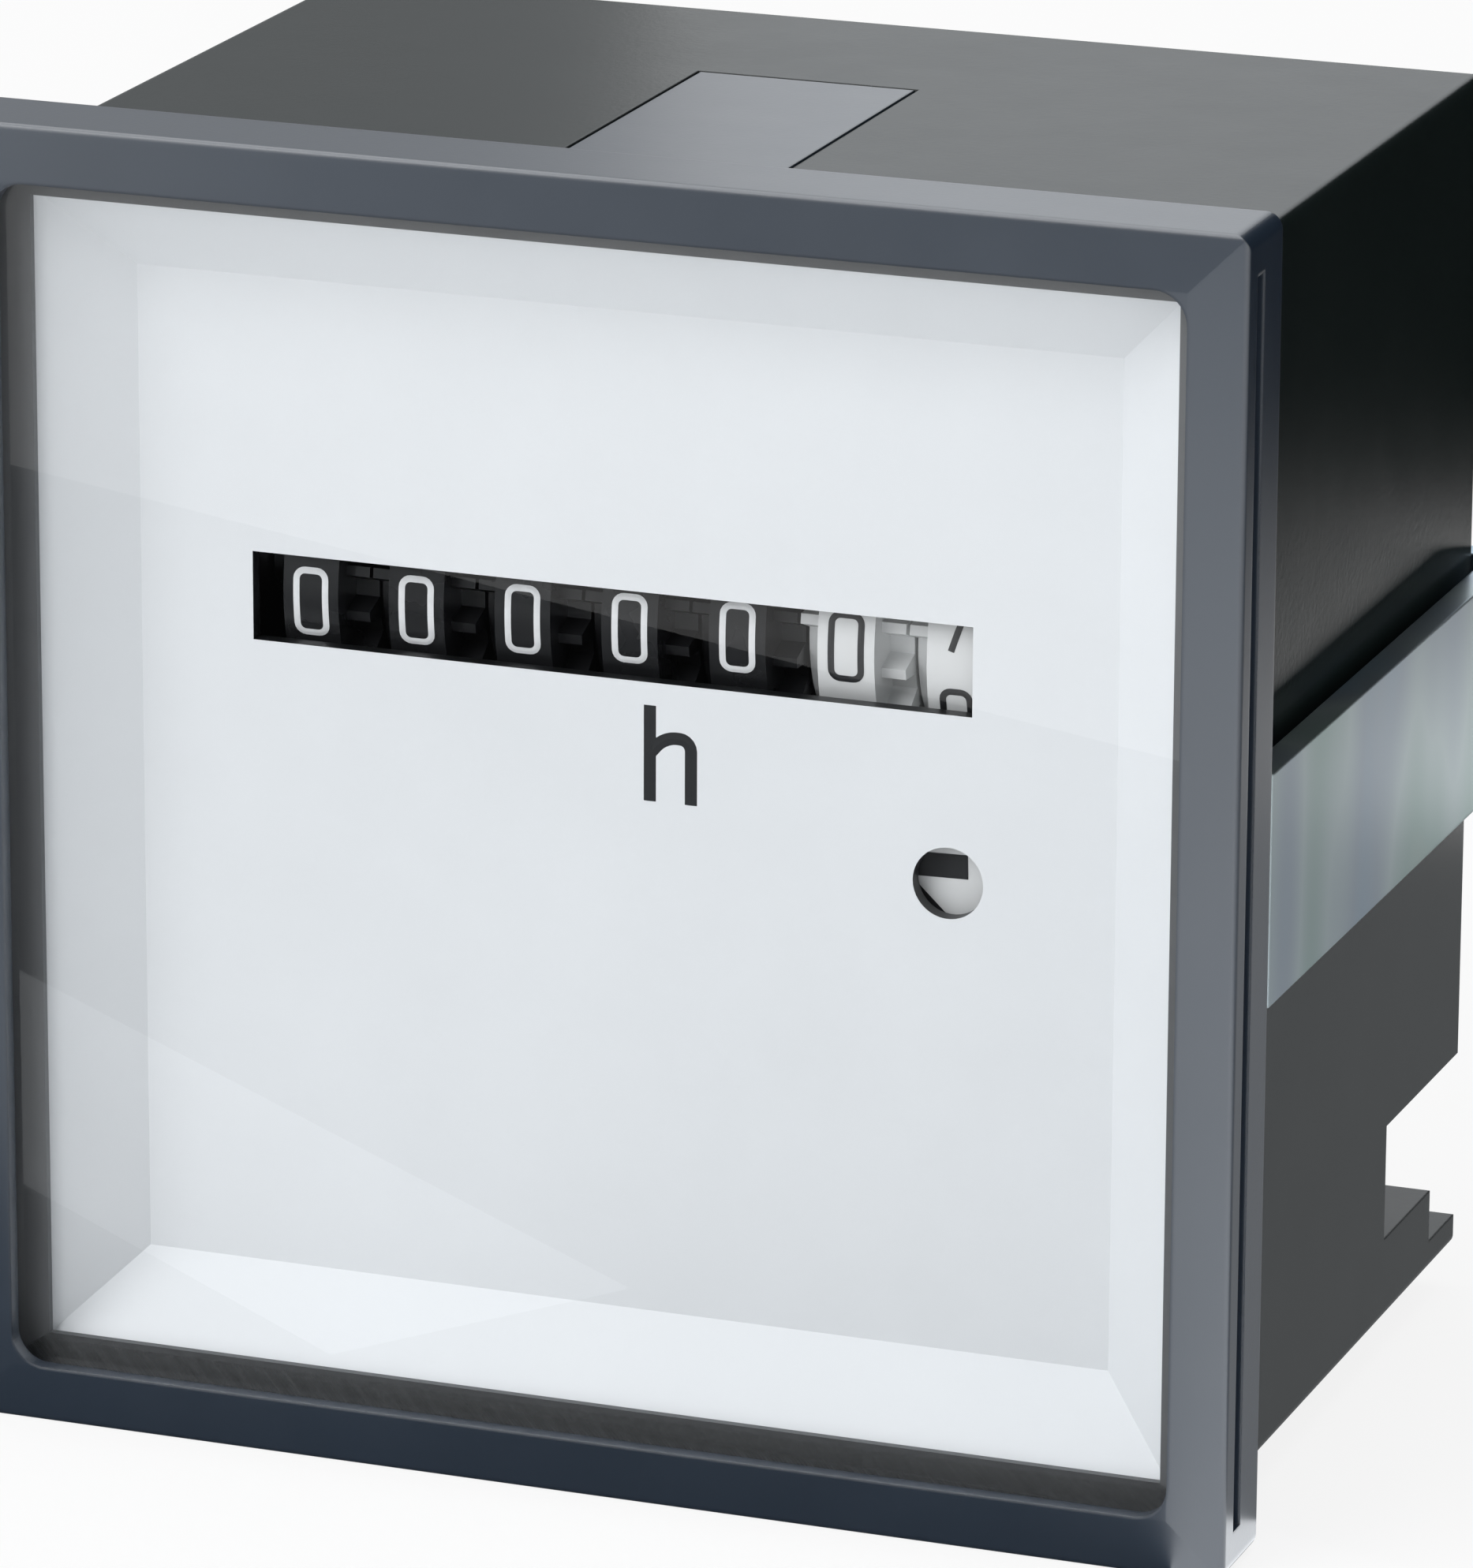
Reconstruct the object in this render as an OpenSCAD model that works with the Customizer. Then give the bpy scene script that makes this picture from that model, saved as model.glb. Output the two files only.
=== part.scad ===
// Panel-mounted hour meter with a seven-wheel counter driven by a synchronous motor.
// X runs to the right, Y runs from the front into the panel and Z runs up.
// The origin is the centre of the front frame's rear face, where the panel seats.

/* [Front frame] */
// How far the front frame stands out beyond the housing on each side
bezel_overhang = 1.5; // [1.2:0.1:6]
// Depth of the front frame from its front face to the panel seat
bezel_depth = 3.8; // [3.4:0.1:5]
// Width of the frame's border round the opening
bezel_border = 2.1; // [1.9:0.1:4]
// Thickness of the lip in front of the lens
bezel_lip = 0.6; // [0.4:0.1:0.9]
// Corner radius of the frame's outline
bezel_corner_r = 0.6; // [0.4:0.1:3]
// Rounding of the frame's front edges
bezel_edge_r = 0.2; // [0.1:0.1:0.7]
// Angle by which the frame's border falls back towards its outer edges
bezel_slope = 4; // [0:0.5:8]
// Corner radius of the frame's opening
opening_corner_r = 1.2; // [0.4:0.1:3]
// Width of the grip grooves in the frame's sides
groove_w = 0.8; // [0.3:0.1:0.8]
// Depth of the grip grooves
groove_depth = 0.4; // [0.2:0.1:0.6]
// Distance of the grip grooves from the front face
groove_setback = 1.1; // [0.9:0.1:1.6]
// Distance between a groove's end and the frame's corner
groove_end_gap = 1.6; // [1.2:0.1:6]
// Width of the snap tongues
tongue_w = 8.2; // [6:0.1:12]
// Thickness of the snap tongues
tongue_t = 1.2; // [0.9:0.1:1.3]
// Length of the upper snap tongue behind the panel seat
tongue_top_len = 19; // [14:0.5:21]
// Length of the lower snap tongue behind the panel seat
tongue_bottom_len = 15; // [10:0.5:16]
// Length of the barb at a tongue's end
barb_len = 1.6; // [1:0.1:2.5]
// Height of the barb at a tongue's end
barb_h = 0.9; // [0.5:0.1:1.1]

/* [Lens and dial] */
// Thickness of the lens
lens_t = 1; // [0.8:0.1:1.2]
// Thickness of the dark seal between lens and dial
seal_t = 0.3; // [0.2:0.05:0.5]
// How far the seal reaches into the frame's opening
seal_in = 0.75; // [0.3:0.05:1.2]
// Thickness of the dial's rim, between seal and housing
dial_rim_t = 0.5; // [0.4:0.1:0.9]
// Width of the dial's flat rim behind the frame's opening
dial_rim_in = 0.4; // [0.2:0.1:1]
// Run of the dial's sloped walls across the front
dial_slope_run = 3.2; // [2:0.1:4]
// Depth of the dial's face behind the panel seat
dial_face_y = 0.5; // [0.2:0.1:1.5]
// Thickness of the dial sheet
dial_t = 0.6; // [0.4:0.1:0.8]
// Height of the counter window
window_h = 3.25; // [2.5:0.05:4]
// How far the window runs past the first wheel's band
window_past_first = 0.85; // [0.3:0.05:1.5]
// How far the dial covers the last wheel's band
window_over_last = 0.15; // [0:0.05:0.5]
// Radius of the running indicator's hole
indicator_hole_r = 1.3; // [0.8:0.1:1.5]

/* [Housing] */
// Width and height of the housing behind the panel
housing_w = 45; // [44.5:0.1:52]
// Wall thickness of the housing
housing_wall = 1.5; // [1.4:0.1:1.7]
// Corner radius of the housing
housing_corner_r = 0.4; // [0.3:0.1:1.4]
// Wall thickness at the housing's front rim
rim_wall = 0.8; // [0.5:0.1:0.9]
// Depth of the terminal bay from the housing's rear
bay_depth = 9.1; // [8.6:0.1:9.3]
// Height of the terminal bay's opening
bay_h = 4.4; // [4.2:0.1:5]
// Thickness of the floor below the terminal bay
bay_floor_t = 3.2; // [2.4:0.1:3.6]
// Thickness of the thinner rear lip of that floor
bay_lip_t = 1.2; // [0.8:0.1:2]
// Length of the thinner rear lip
bay_lip_len = 3.25; // [1:0.05:6]
// Thickness of the walls round the terminal bay
bay_wall = 1.3; // [1:0.1:1.5]
// Radius of the screw posts
post_r = 2.2; // [1.8:0.1:2.4]

/* [Clamp] */
// Width of the clamp strap
strap_w = 8.4; // [7.5:0.1:14]
// Thickness of the clamp strap
strap_t = 1; // [0.6:0.1:1.4]
// Gap between the housing's sides and the strap
strap_gap = 0.45; // [0.2:0.05:1]
// Gap between the panel seat and the strap's ends
strap_end_gap = 0.3; // [0.1:0.1:2]
// Gap between the housing's rear and the strap's cross bar
strap_rear_gap = 1; // [0.6:0.1:4]
// Inner radius of the strap's bends
strap_bend_r = 0.6; // [0.4:0.1:2]
// Travel of the strap for thicker panels
clamp_travel = 6; // [2:0.5:12]
// Radius of the clamp screw's thread
clamp_screw_r = 2; // [1.5:0.1:2.5]
// Radius of the clamp screw's head
clamp_head_r = 3.5; // [3:0.1:5]
// Height of the clamp screw's head
clamp_head_h = 2.4; // [1.6:0.1:4]
// Height of the threaded collar on the strap
collar_h = 1.5; // [0.8:0.1:3]
// Wall of the threaded collar
collar_wall = 1.1; // [0.6:0.1:2]
// Depth of the screw's seat in the housing
seat_depth = 0.5; // [0.3:0.1:0.8]

/* [Terminals] */
// Width of the push-on tabs
tab_w = 6.3; // [4.8:0.1:6.5]
// Thickness of the push-on tabs
tab_t = 0.8; // [0.5:0.1:1]
// Length of the push-on tabs from the bay's wall
tab_len = 8; // [6:0.1:8.4]
// Distance of the tabs from the middle
tab_x = 9; // [6:0.5:14]

/* [Counter] */
// Radius of the number wheels
wheel_r = 6; // [5.8:0.1:6.2]
// Distance between neighbouring number wheels
wheel_pitch = 4.03; // [3.7:0.01:4.15]
// Width of a number wheel's printed band
band_w = 2.1; // [1.7:0.1:2.3]
// Height of the counter's shaft above the middle
counter_z = 6.62; // [6.3:0.02:7.2]
// Radius of the counter's shaft
counter_shaft_r = 1; // [0.7:0.1:1.3]
// Radius of the carry pinions' shaft
pinion_shaft_r = 0.6; // [0.4:0.1:0.8]
// Tooth module of the carry gearing
carry_module = 0.49; // [0.48:0.01:0.5]
// Thickness of the movement's plates
plate_t = 1; // [0.8:0.1:1.2]

/* [Gear train] */
// Tooth module of the reduction train
train_module = 0.22; // [0.2:0.01:0.23]
// Tooth module of the right-angle drive to the counter
crown_module = 0.4; // [0.36:0.01:0.42]
// Thickness of the train's wheels
train_wheel_t = 0.6; // [0.4:0.05:0.8]
// Gap between the levels of the train
level_gap = 0.35; // [0.25:0.05:0.5]
// Radius of the arbors
arbor_r = 0.45; // [0.4:0.01:0.5]
// Radius of the arbors' pivots
pivot_r = 0.35; // [0.25:0.01:0.4]
// Radius of the indicator disc
indicator_disc_r = 4.2; // [3.9:0.1:4.5]

/* [Motor] */
// Radius of the motor's shells
motor_r = 13; // [12:0.1:13.4]
// Length of the motor's shells
motor_len = 5.8; // [5:0.1:7]
// Sheet thickness of the motor's shells
shell_t = 0.8; // [0.6:0.1:1]
// Inner radius of the claw poles
claw_r = 6.2; // [5.5:0.1:6.4]
// Radial gap between rotor and claw poles
air_gap = 0.3; // [0.2:0.05:0.5]
// Radius of the rotor's shaft
rotor_shaft_r = 0.5; // [0.4:0.05:0.55]

/* [Hidden] */
$fn = 48;

// Clearances
fit_gap = 0.02;
running_gap = 0.05;
slip_gap = 0.1;
tongue_gap = 0.15;
side_gap = 0.25;
wheel_gap = 0.15;
wheel_rear_gap = 1.35;
cheek_gap = 0.75;
spool_gap = 0.2;
claw_end_gap = 0.5;
rotor_end_gap = 0.4;
shank_gap = 0.3;
head_gap = 0.4;
cut = 1;

// Tooth form, in modules and in shares of the tooth pitch
addendum = 0.8;
dedendum = 1.15;
tooth_root = 0.56;
tooth_tip = 0.22;
pinion_teeth = 8;
ring_teeth = 20;
crown_teeth = 24;
train_teeth = [32, 40, 40, 40];
claw_pairs = 12;

// Front frame, lens and dial
bezel_w = housing_w + 2 * bezel_overhang;
opening_w = bezel_w - 2 * bezel_border;
pocket_w = housing_w + 2 * slip_gap;
lens_y = bezel_lip - bezel_depth;
seal_y = lens_y + lens_t;
rim_y = seal_y + seal_t;
housing_front_y = rim_y + dial_rim_t;
dial_rim_w = opening_w - 2 * dial_rim_in;
dial_face_w = dial_rim_w - 2 * dial_slope_run;
dial_slope = dial_slope_run / (dial_face_y - rim_y);
dial_wall_run = dial_t * sqrt(1 + dial_slope * dial_slope);
dial_back_y = dial_face_y + dial_t;

// Counter
wheels = 7;
last_wheel = wheels - 1;
counter_y = dial_back_y + wheel_gap + wheel_r;
half_pitch_gap = 0.065;
side_w = (wheel_pitch - band_w) / 2 - half_pitch_gap;
ring_r = ring_teeth * carry_module / 2;
carry_pinion_r = pinion_teeth * carry_module / 2;
pinion_shaft_z = counter_z + ring_r + carry_pinion_r;
hub_wall = 1.2;
hub_r = counter_shaft_r + hub_wall;
carry_hub_wall = 0.65;
carry_hub_r = pinion_shaft_r + carry_hub_wall;
crown_base = 0.55;
crown_r = crown_teeth * crown_module / 2;
crown_face = 1;
crown_rim = 0.4;
crown_tooth_share = 0.36;
crown_pinion_past = 0.7;
crown_pinion_r = pinion_teeth * crown_module / 2;
train_wall_gap = 0.3;
half_w = housing_w / 2;
inner_half = half_w - housing_wall;
last_wheel_r = train_module * (train_teeth[len(train_teeth) - 1] / 2 + addendum);
crown_reach = last_wheel * wheel_pitch / 2 + band_w / 2 + crown_base + dedendum * crown_module;
// The counter sits in the middle, or further left where the last train wheel needs the room
counter_x = min(0, inner_half - train_wall_gap - last_wheel_r - crown_pinion_r - crown_reach);
crown_x = counter_x + crown_reach;
crown_tooth_w = crown_tooth_share * PI * crown_module;
cheek_x = crown_x + addendum * crown_module + cheek_gap;
left_cheek_x = 2 * counter_x - cheek_x;
cheek_reach = 4;
cheek_margin = 0.3;
cheek_front = counter_y - cheek_reach;
cheek_bottom = counter_z - wheel_r - cheek_margin;
cheek_top = pinion_shaft_z + pinion_shaft_r + 2 * cheek_margin;
clip_t = 0.4;
clip_wall = 1;
clip_margin = 0.2;
shaft_past = clip_t + clip_margin;
shaft_from = left_cheek_x - plate_t - shaft_past;
shaft_len = 2 * (counter_x - shaft_from);
ring_turn = 180 / ring_teeth;
driver_first = 8;
driver_last = 10;
driver_from = driver_first * 360 / ring_teeth;
driver_to = driver_last * 360 / ring_teeth;
window_x0 = wheel_x(0) - band_w / 2 - window_past_first;
window_x1 = wheel_x(last_wheel) + band_w / 2 - window_over_last;

// Levels along Y
frame_y = counter_y + wheel_r + wheel_rear_gap;
train_y = frame_y + plate_t;
level_step = train_wheel_t + level_gap;
stages = len(train_teeth);
level_start = 0.3;
train_space = stages * level_step + 2 * slip_gap;
rear_plate_y = train_y + train_space;
motor_y = rear_plate_y + plate_t;
motor_rear_y = motor_y + motor_len;
cap_rear_y = motor_rear_y + shell_t;
rivet_head_h = 0.25;
rear_inner_y = cap_rear_y + rivet_head_h + running_gap;
housing_depth = rear_inner_y + housing_wall;

// Terminal bay
bay_bottom = bay_floor_t - half_w;
bay_top = bay_bottom + bay_h;
bay_roof = bay_top + bay_wall;

// Gear train, seen from the front: centre distances and places of the arbors
stage = [for (teeth = train_teeth) (teeth + pinion_teeth) * train_module / 2];
turn_43 = 252;
turn_32 = 207;
turn_21 = 180;
arbor_4 = [crown_x + crown_pinion_r, counter_z];
arbor_3 = arbor_4 + stage[3] * heading(turn_43);
arbor_2 = arbor_3 + stage[2] * heading(turn_32);
arbor_1 = arbor_2 + stage[1] * heading(turn_21);
// The rotor stands beside the first arbor, or higher where the motor needs the room above the terminal bay
rotor_lift = 31;
motor_bay_gap = 1.4;
exit_drop = 0.5;
rotor_low = bay_roof + motor_bay_gap + exit_drop + motor_r;
rotor_rise = max(sin(rotor_lift), (rotor_low - arbor_1[1]) / stage[0]);
turn_10 = 180 - asin(min(1, rotor_rise));
rotor_at = arbor_1 + stage[0] * heading(turn_10);
arbors = [rotor_at, arbor_1, arbor_2, arbor_3, arbor_4];
toward_driver = [turn_10, turn_21, turn_32, turn_43];
toward_next = [for (turn = toward_driver) turn + 180];
train_pinion_w = train_wheel_t + 2 * slip_gap;
wheel_rim = 0.5;
boss_wall = 0.8;
spoke_w = 0.8;
indicator_y = dial_back_y + side_gap;
indicator_t = 0.4;
indicator_offset = [2.75, -0.3];
indicator_at = arbor_2 + indicator_offset;
arm_gap = 1.2;
arm_y = indicator_y + indicator_t + arm_gap;
arm_half_w = 2;
arm_drop = 2.6;
arm_rise = 1;

// Housing and movement frame
bay_y = housing_depth - bay_depth;
bay_wall_y = bay_y - bay_wall;
rib_t = 1.5;
plate_margin = 2;
plate_bay_gap = 0.8;
screw_r = 1;
screw_head_r = 1.9;
screw_cheek_gap = 0.2;
// The plates leave a margin to the housing's walls, or reach out to the cheeks and past them to the screws
plate_half_w = max(inner_half - plate_margin, plate_t - left_cheek_x);
plate_top = max(inner_half - plate_margin, cheek_top + screw_cheek_gap + 2 * screw_head_r);
plate_bottom = bay_roof + plate_bay_gap;
screw_head_h = 1.2;
screw_in = 5;
screw_hole_past = 0.4;
screw_slot = 0.5;
screw_inset = 1.5;
screw_rise = 2.5;
screw_low = plate_bottom + screw_rise;
screw_high = plate_top - screw_head_r;
screw_places = [for (side = [-1, 1], z = [screw_low, screw_high]) [side * (plate_half_w - screw_inset), z]];
pillar_wall = 0.8;
tab_z = (bay_bottom + bay_top) / 2;
lug_w = 3;
lug_len = 2.4;
shoulder_overhang = 0.65;
shoulder_w = tab_w + 2 * shoulder_overhang;
shoulder_len = 0.6;

// Clamp
strap_in_x = half_w + strap_gap;
strap_out_x = strap_in_x + strap_t;
bar_y = housing_depth + strap_rear_gap;
bar_rear_y = bar_y + strap_t;
screw_tip_y = housing_depth - seat_depth;
screw_tip_step = 0.5;
screw_tip_r = clamp_screw_r - screw_tip_step;
shank_y = housing_depth + shank_gap;
head_y = bar_rear_y + collar_h + clamp_travel + head_gap;
head_slot_w = 1;
head_slot_depth = 1.2;

// Motor
rotor_r = claw_r - air_gap;
claw_t = shell_t;
claw_share = 0.7;
claw_w = claw_share * PI * (claw_r + claw_t / 2) / claw_pairs;
spool_r = claw_r + claw_t + spool_gap;
spool_out_r = motor_r - shell_t - spool_gap;
spool_y = motor_y + shell_t + spool_gap;
spool_len = motor_len - 2 * (shell_t + spool_gap);
spool_wall = 0.6;
claw_len = motor_len - 2 * shell_t - claw_end_gap;
rotor_y = motor_y + shell_t + rotor_end_gap;
rotor_len = motor_len - 2 * (shell_t + rotor_end_gap);
rotor_hub_r = 2.5;
bush_r = 1.5;
cap_flange = 1.8;
cap_r = claw_r + claw_t + cap_flange;
rivet_r = 0.6;
rivet_head_r = 1;
rivet_ring_r = cap_r - cap_flange / 2;
exit_w = 5;
exit_notch = 0.43;
coil_lug_z = rotor_at[1] - motor_r - exit_drop;
notch_top = max(plate_bottom, coil_lug_z) + exit_notch;
lead_r = 0.35;
lead_exit_x = 1.4;
lead_back = 0.4;
lead_rise = 1.6;

function heading(a) = [cos(a), sin(a)];
function wheel_x(i) = counter_x + (i - last_wheel / 2) * wheel_pitch;
function level_y(k) = train_y + level_start + (stages - k) * level_step;

// Corners of a straight-flanked gear with a tooth at the angle first
function gear_points(teeth, module_size, first) =
    let (pitch_r = teeth * module_size / 2)
    let (root = pitch_r - dedendum * module_size)
    let (tip = pitch_r + addendum * module_size)
    [
        for (i = [0 : teeth - 1])
        for (corner = [[-tooth_root, root], [-tooth_tip, tip], [tooth_tip, tip], [tooth_root, root]])
        corner[1] * heading(first + (i + corner[0] / 2) * 360 / teeth)
    ];

// Helpers that extrude a flat shape along Y, X or Z
module along_y(from, len) {
    translate([0, from + len, 0]) rotate([90, 0, 0]) linear_extrude(len) children();
}
module along_x(from, len) {
    translate([from, 0, 0]) rotate([90, 0, 90]) linear_extrude(len) children();
}
module along_z(from, len) {
    translate([0, 0, from]) linear_extrude(len) children();
}
module rod_y(at, from, len, r) {
    along_y(from, len) translate(at) circle(r);
}
module rod_x(at, from, len, r) {
    along_x(from, len) translate(at) circle(r);
}
module block(low, high) {
    translate(low) cube(high - low);
}
module rounded_square(w, r) {
    square([w, w - 2 * r], center = true);
    square([w - 2 * r, w], center = true);
    for (x = [-1, 1], y = [-1, 1]) translate([x, y] * (w / 2 - r)) circle(r);
}

// Side view of the frame, depth along the first axis: its border slopes back to two rounded front edges
module edge_profile() {
    r = bezel_edge_r;
    outer = bezel_w / 2 - r;
    inner = opening_w / 2;
    drop = r * (cos(bezel_slope) - 1) + (outer + r * sin(bezel_slope) - inner) * tan(bezel_slope);
    centre_y = drop + r - bezel_depth;
    sloped_y = centre_y - r * cos(bezel_slope);
    sloped_half = outer + r * sin(bezel_slope);
    translate([centre_y, -bezel_w / 2]) square([-centre_y, bezel_w]);
    polygon([
        [-bezel_depth, -inner], [sloped_y, -sloped_half], [centre_y, -outer], [0, -outer],
        [0, outer], [centre_y, outer], [sloped_y, sloped_half], [-bezel_depth, inner]
    ]);
    for (side = [-1, 1]) translate([centre_y, side * outer]) circle(r);
}
module tongue(len) {
    low = half_w - tongue_t;
    root_top = (pocket_w + bezel_w) / 4;
    along_x(-tongue_w / 2, tongue_w) polygon([
        [housing_front_y, low], [len - barb_len, low], [len - barb_len, low - barb_h],
        [len - barb_len / 2, low - barb_h], [len, low], [len, half_w], [0, half_w], [0, root_top],
        [housing_front_y, root_top]
    ]);
}
module bezel() color([0.27, 0.29, 0.33]) {
    difference() {
        intersection() {
            along_y(-bezel_depth, bezel_depth) rounded_square(bezel_w, bezel_corner_r);
            along_x(-bezel_w / 2, bezel_w) edge_profile();
            along_z(-bezel_w / 2, bezel_w) rotate(90) edge_profile();
        }
        along_y(-bezel_depth - cut, bezel_depth) rounded_square(opening_w, opening_corner_r);
        along_y(lens_y, bezel_depth) rounded_square(pocket_w, housing_corner_r);
        for (side = [-1, 1]) {
            groove_y = groove_setback - bezel_depth;
            groove_half = bezel_w / 2 - groove_end_gap;
            groove_x = side * bezel_w / 2;
            block(
                [groove_x - groove_depth, groove_y, -groove_half],
                [groove_x + groove_depth, groove_y + groove_w, groove_half]
            );
        }
    }
    tongue(tongue_top_len);
    mirror([0, 0, 1]) tongue(tongue_bottom_len);
}

module lens() color([0.85, 0.9, 0.92, 0.3]) {
    along_y(lens_y, lens_t) rounded_square(housing_w, housing_corner_r);
}

module seal_ring() color([0.06, 0.06, 0.07]) {
    along_y(seal_y, seal_t) difference() {
        rounded_square(housing_w, housing_corner_r);
        square(opening_w - 2 * seal_in, center = true);
    }
}

// Truncated pyramid between two depths, given by its half widths there
module taper(y0, half_0, y1, half_1) {
    outline = [[y0, -half_0], [y1, -half_1], [y1, half_1], [y0, half_0]];
    intersection() {
        along_x(-half_0, 2 * half_0) polygon(outline);
        along_z(-half_0, 2 * half_0) rotate(90) polygon(outline);
    }
}
module dial_tray() color([0.92, 0.93, 0.94]) {
    face_half = dial_face_w / 2;
    rim_half = dial_rim_w / 2;
    back_half = face_half + dial_wall_run - dial_slope * dial_t;
    difference() {
        union() {
            along_y(rim_y, dial_rim_t) rounded_square(housing_w, housing_corner_r);
            intersection() {
                along_y(rim_y, dial_back_y - rim_y)
                    square(2 * (half_w - tongue_t - slip_gap), center = true);
                taper(rim_y, rim_half + dial_wall_run, dial_back_y, back_half);
            }
        }
        taper(rim_y - cut, rim_half + cut * dial_slope, dial_face_y, face_half);
        along_y(dial_face_y - cut, dial_t + 2 * cut) {
            translate([window_x0, counter_z - window_h / 2]) square([window_x1 - window_x0, window_h]);
            translate(indicator_at) circle(indicator_hole_r);
        }
    }
}

module tongue_slot(len) {
    block(
        [-tongue_w / 2 - tongue_gap, housing_front_y - cut, inner_half - cut],
        [tongue_w / 2 + tongue_gap, len + tongue_gap, half_w + cut]
    );
}
// Rib inside the wall that the tongue's barb snaps behind
module tongue_rib(len) {
    rib_half = tongue_w / 2 + rib_t;
    rib_rear = len - barb_len - tongue_gap;
    block(
        [-rib_half, rib_rear - rib_t, inner_half - rib_t],
        [rib_half, rib_rear, half_w - tongue_t - slip_gap]
    );
}
module housing() color([0.1, 0.1, 0.11]) {
    difference() {
        union() {
            difference() {
                along_y(housing_front_y, housing_depth - housing_front_y)
                    rounded_square(housing_w, housing_corner_r);
                along_y(housing_front_y - cut, rear_inner_y - housing_front_y + cut)
                    square(2 * inner_half, center = true);
                along_y(housing_front_y - cut, dial_back_y - housing_front_y + cut)
                    square(housing_w - 2 * rim_wall, center = true);
                tongue_slot(tongue_top_len);
                mirror([0, 0, 1]) tongue_slot(tongue_bottom_len);
            }
            tongue_rib(tongue_top_len);
            mirror([0, 0, 1]) tongue_rib(tongue_bottom_len);
            block(
                [-inner_half - housing_wall / 2, bay_wall_y, -half_w + housing_wall / 2],
                [inner_half + housing_wall / 2, housing_depth - housing_wall / 2, bay_roof]
            );
            for (at = screw_places) rod_y(at, motor_y, rear_inner_y - motor_y + housing_wall / 2, post_r);
        }
        block([-half_w - cut, bay_y, bay_bottom], [half_w + cut, housing_depth + cut, bay_top]);
        block(
            [-half_w - cut, housing_depth - bay_lip_len, bay_lip_t - half_w],
            [half_w + cut, housing_depth + cut, bay_top]
        );
        for (side = [-1, 1]) block(
            [side * tab_x - tab_w / 2 - running_gap, bay_wall_y - cut, tab_z - tab_t / 2 - running_gap],
            [side * tab_x + tab_w / 2 + running_gap, bay_y + cut, tab_z + tab_t / 2 + running_gap]
        );
        for (at = screw_places)
            rod_y(at, motor_y - cut, screw_in + cut + screw_hole_past, screw_r + fit_gap);
        rod_y([0, 0], screw_tip_y, seat_depth + cut, screw_tip_r + slip_gap);
    }
}

module strap_outline(half, front, rear, r) {
    translate([-half, front]) square([2 * half, rear - front - r]);
    translate([r - half, front]) square([2 * (half - r), rear - front]);
    for (side = [-1, 1]) translate([side * (half - r), rear - r]) circle(r);
}
module clamp_bracket() color([0.62, 0.66, 0.72]) {
    difference() {
        union() {
            along_z(-strap_w / 2, strap_w) difference() {
                strap_outline(strap_out_x, strap_end_gap, bar_rear_y, strap_bend_r + strap_t);
                strap_outline(strap_in_x, strap_end_gap - cut, bar_y, strap_bend_r);
            }
            rod_y([0, 0], bar_y + strap_t / 2, strap_t / 2 + collar_h, clamp_screw_r + collar_wall);
        }
        rod_y([0, 0], bar_y - cut, strap_t + collar_h + 2 * cut, clamp_screw_r + running_gap);
    }
}
module clamp_screw() color([0.7, 0.72, 0.74]) {
    difference() {
        union() {
            rod_y([0, 0], screw_tip_y, shank_y - screw_tip_y + cut, screw_tip_r);
            rod_y([0, 0], shank_y, head_y - shank_y + clamp_head_h / 2, clamp_screw_r);
            rod_y([0, 0], head_y, clamp_head_h, clamp_head_r);
        }
        block(
            [-clamp_head_r - cut, head_y + clamp_head_h - head_slot_depth, -head_slot_w / 2],
            [clamp_head_r + cut, head_y + clamp_head_h + cut, head_slot_w / 2]
        );
    }
}

module terminal(side) {
    tip_y = bay_y + tab_len;
    bevel = 1;
    shoulder_y = bay_wall_y - shoulder_len;
    lug_y = shoulder_y - lug_len;
    along_z(tab_z - tab_t / 2, tab_t) translate([side * tab_x, 0]) difference() {
        union() {
            translate([-lug_w / 2, lug_y]) square([lug_w, lug_len + shoulder_len]);
            translate([-shoulder_w / 2, shoulder_y]) square([shoulder_w, shoulder_len]);
            polygon([
                [-tab_w / 2, shoulder_y], [tab_w / 2, shoulder_y], [tab_w / 2, tip_y - bevel],
                [tab_w / 2 - bevel, tip_y], [bevel - tab_w / 2, tip_y], [-tab_w / 2, tip_y - bevel]
            ]);
        }
        translate([0, tip_y - tab_len / 2]) circle(tab_w / 8);
        translate([0, lug_y + lug_w / 2]) circle(lug_w / 5);
    }
}
module terminal_left() color([0.8, 0.78, 0.66]) terminal(-1);
module terminal_right() color([0.8, 0.78, 0.66]) terminal(1);

module plate_outline() {
    translate([-plate_half_w, plate_bottom]) square([2 * plate_half_w, plate_top - plate_bottom]);
}
// Screw holes and pivot holes that both plates share
module plate_holes() {
    for (at = screw_places) translate(at) circle(screw_r + slip_gap);
    for (i = [1 : 4]) translate(arbors[i]) circle(pivot_r + running_gap);
}
module cheek(from) {
    along_x(from, plate_t) difference() {
        translate([cheek_front, cheek_bottom])
            square([frame_y + plate_t / 2 - cheek_front, cheek_top - cheek_bottom]);
        translate([counter_y, counter_z]) circle(counter_shaft_r + fit_gap);
        translate([counter_y, pinion_shaft_z]) circle(pinion_shaft_r + fit_gap);
    }
}
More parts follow.
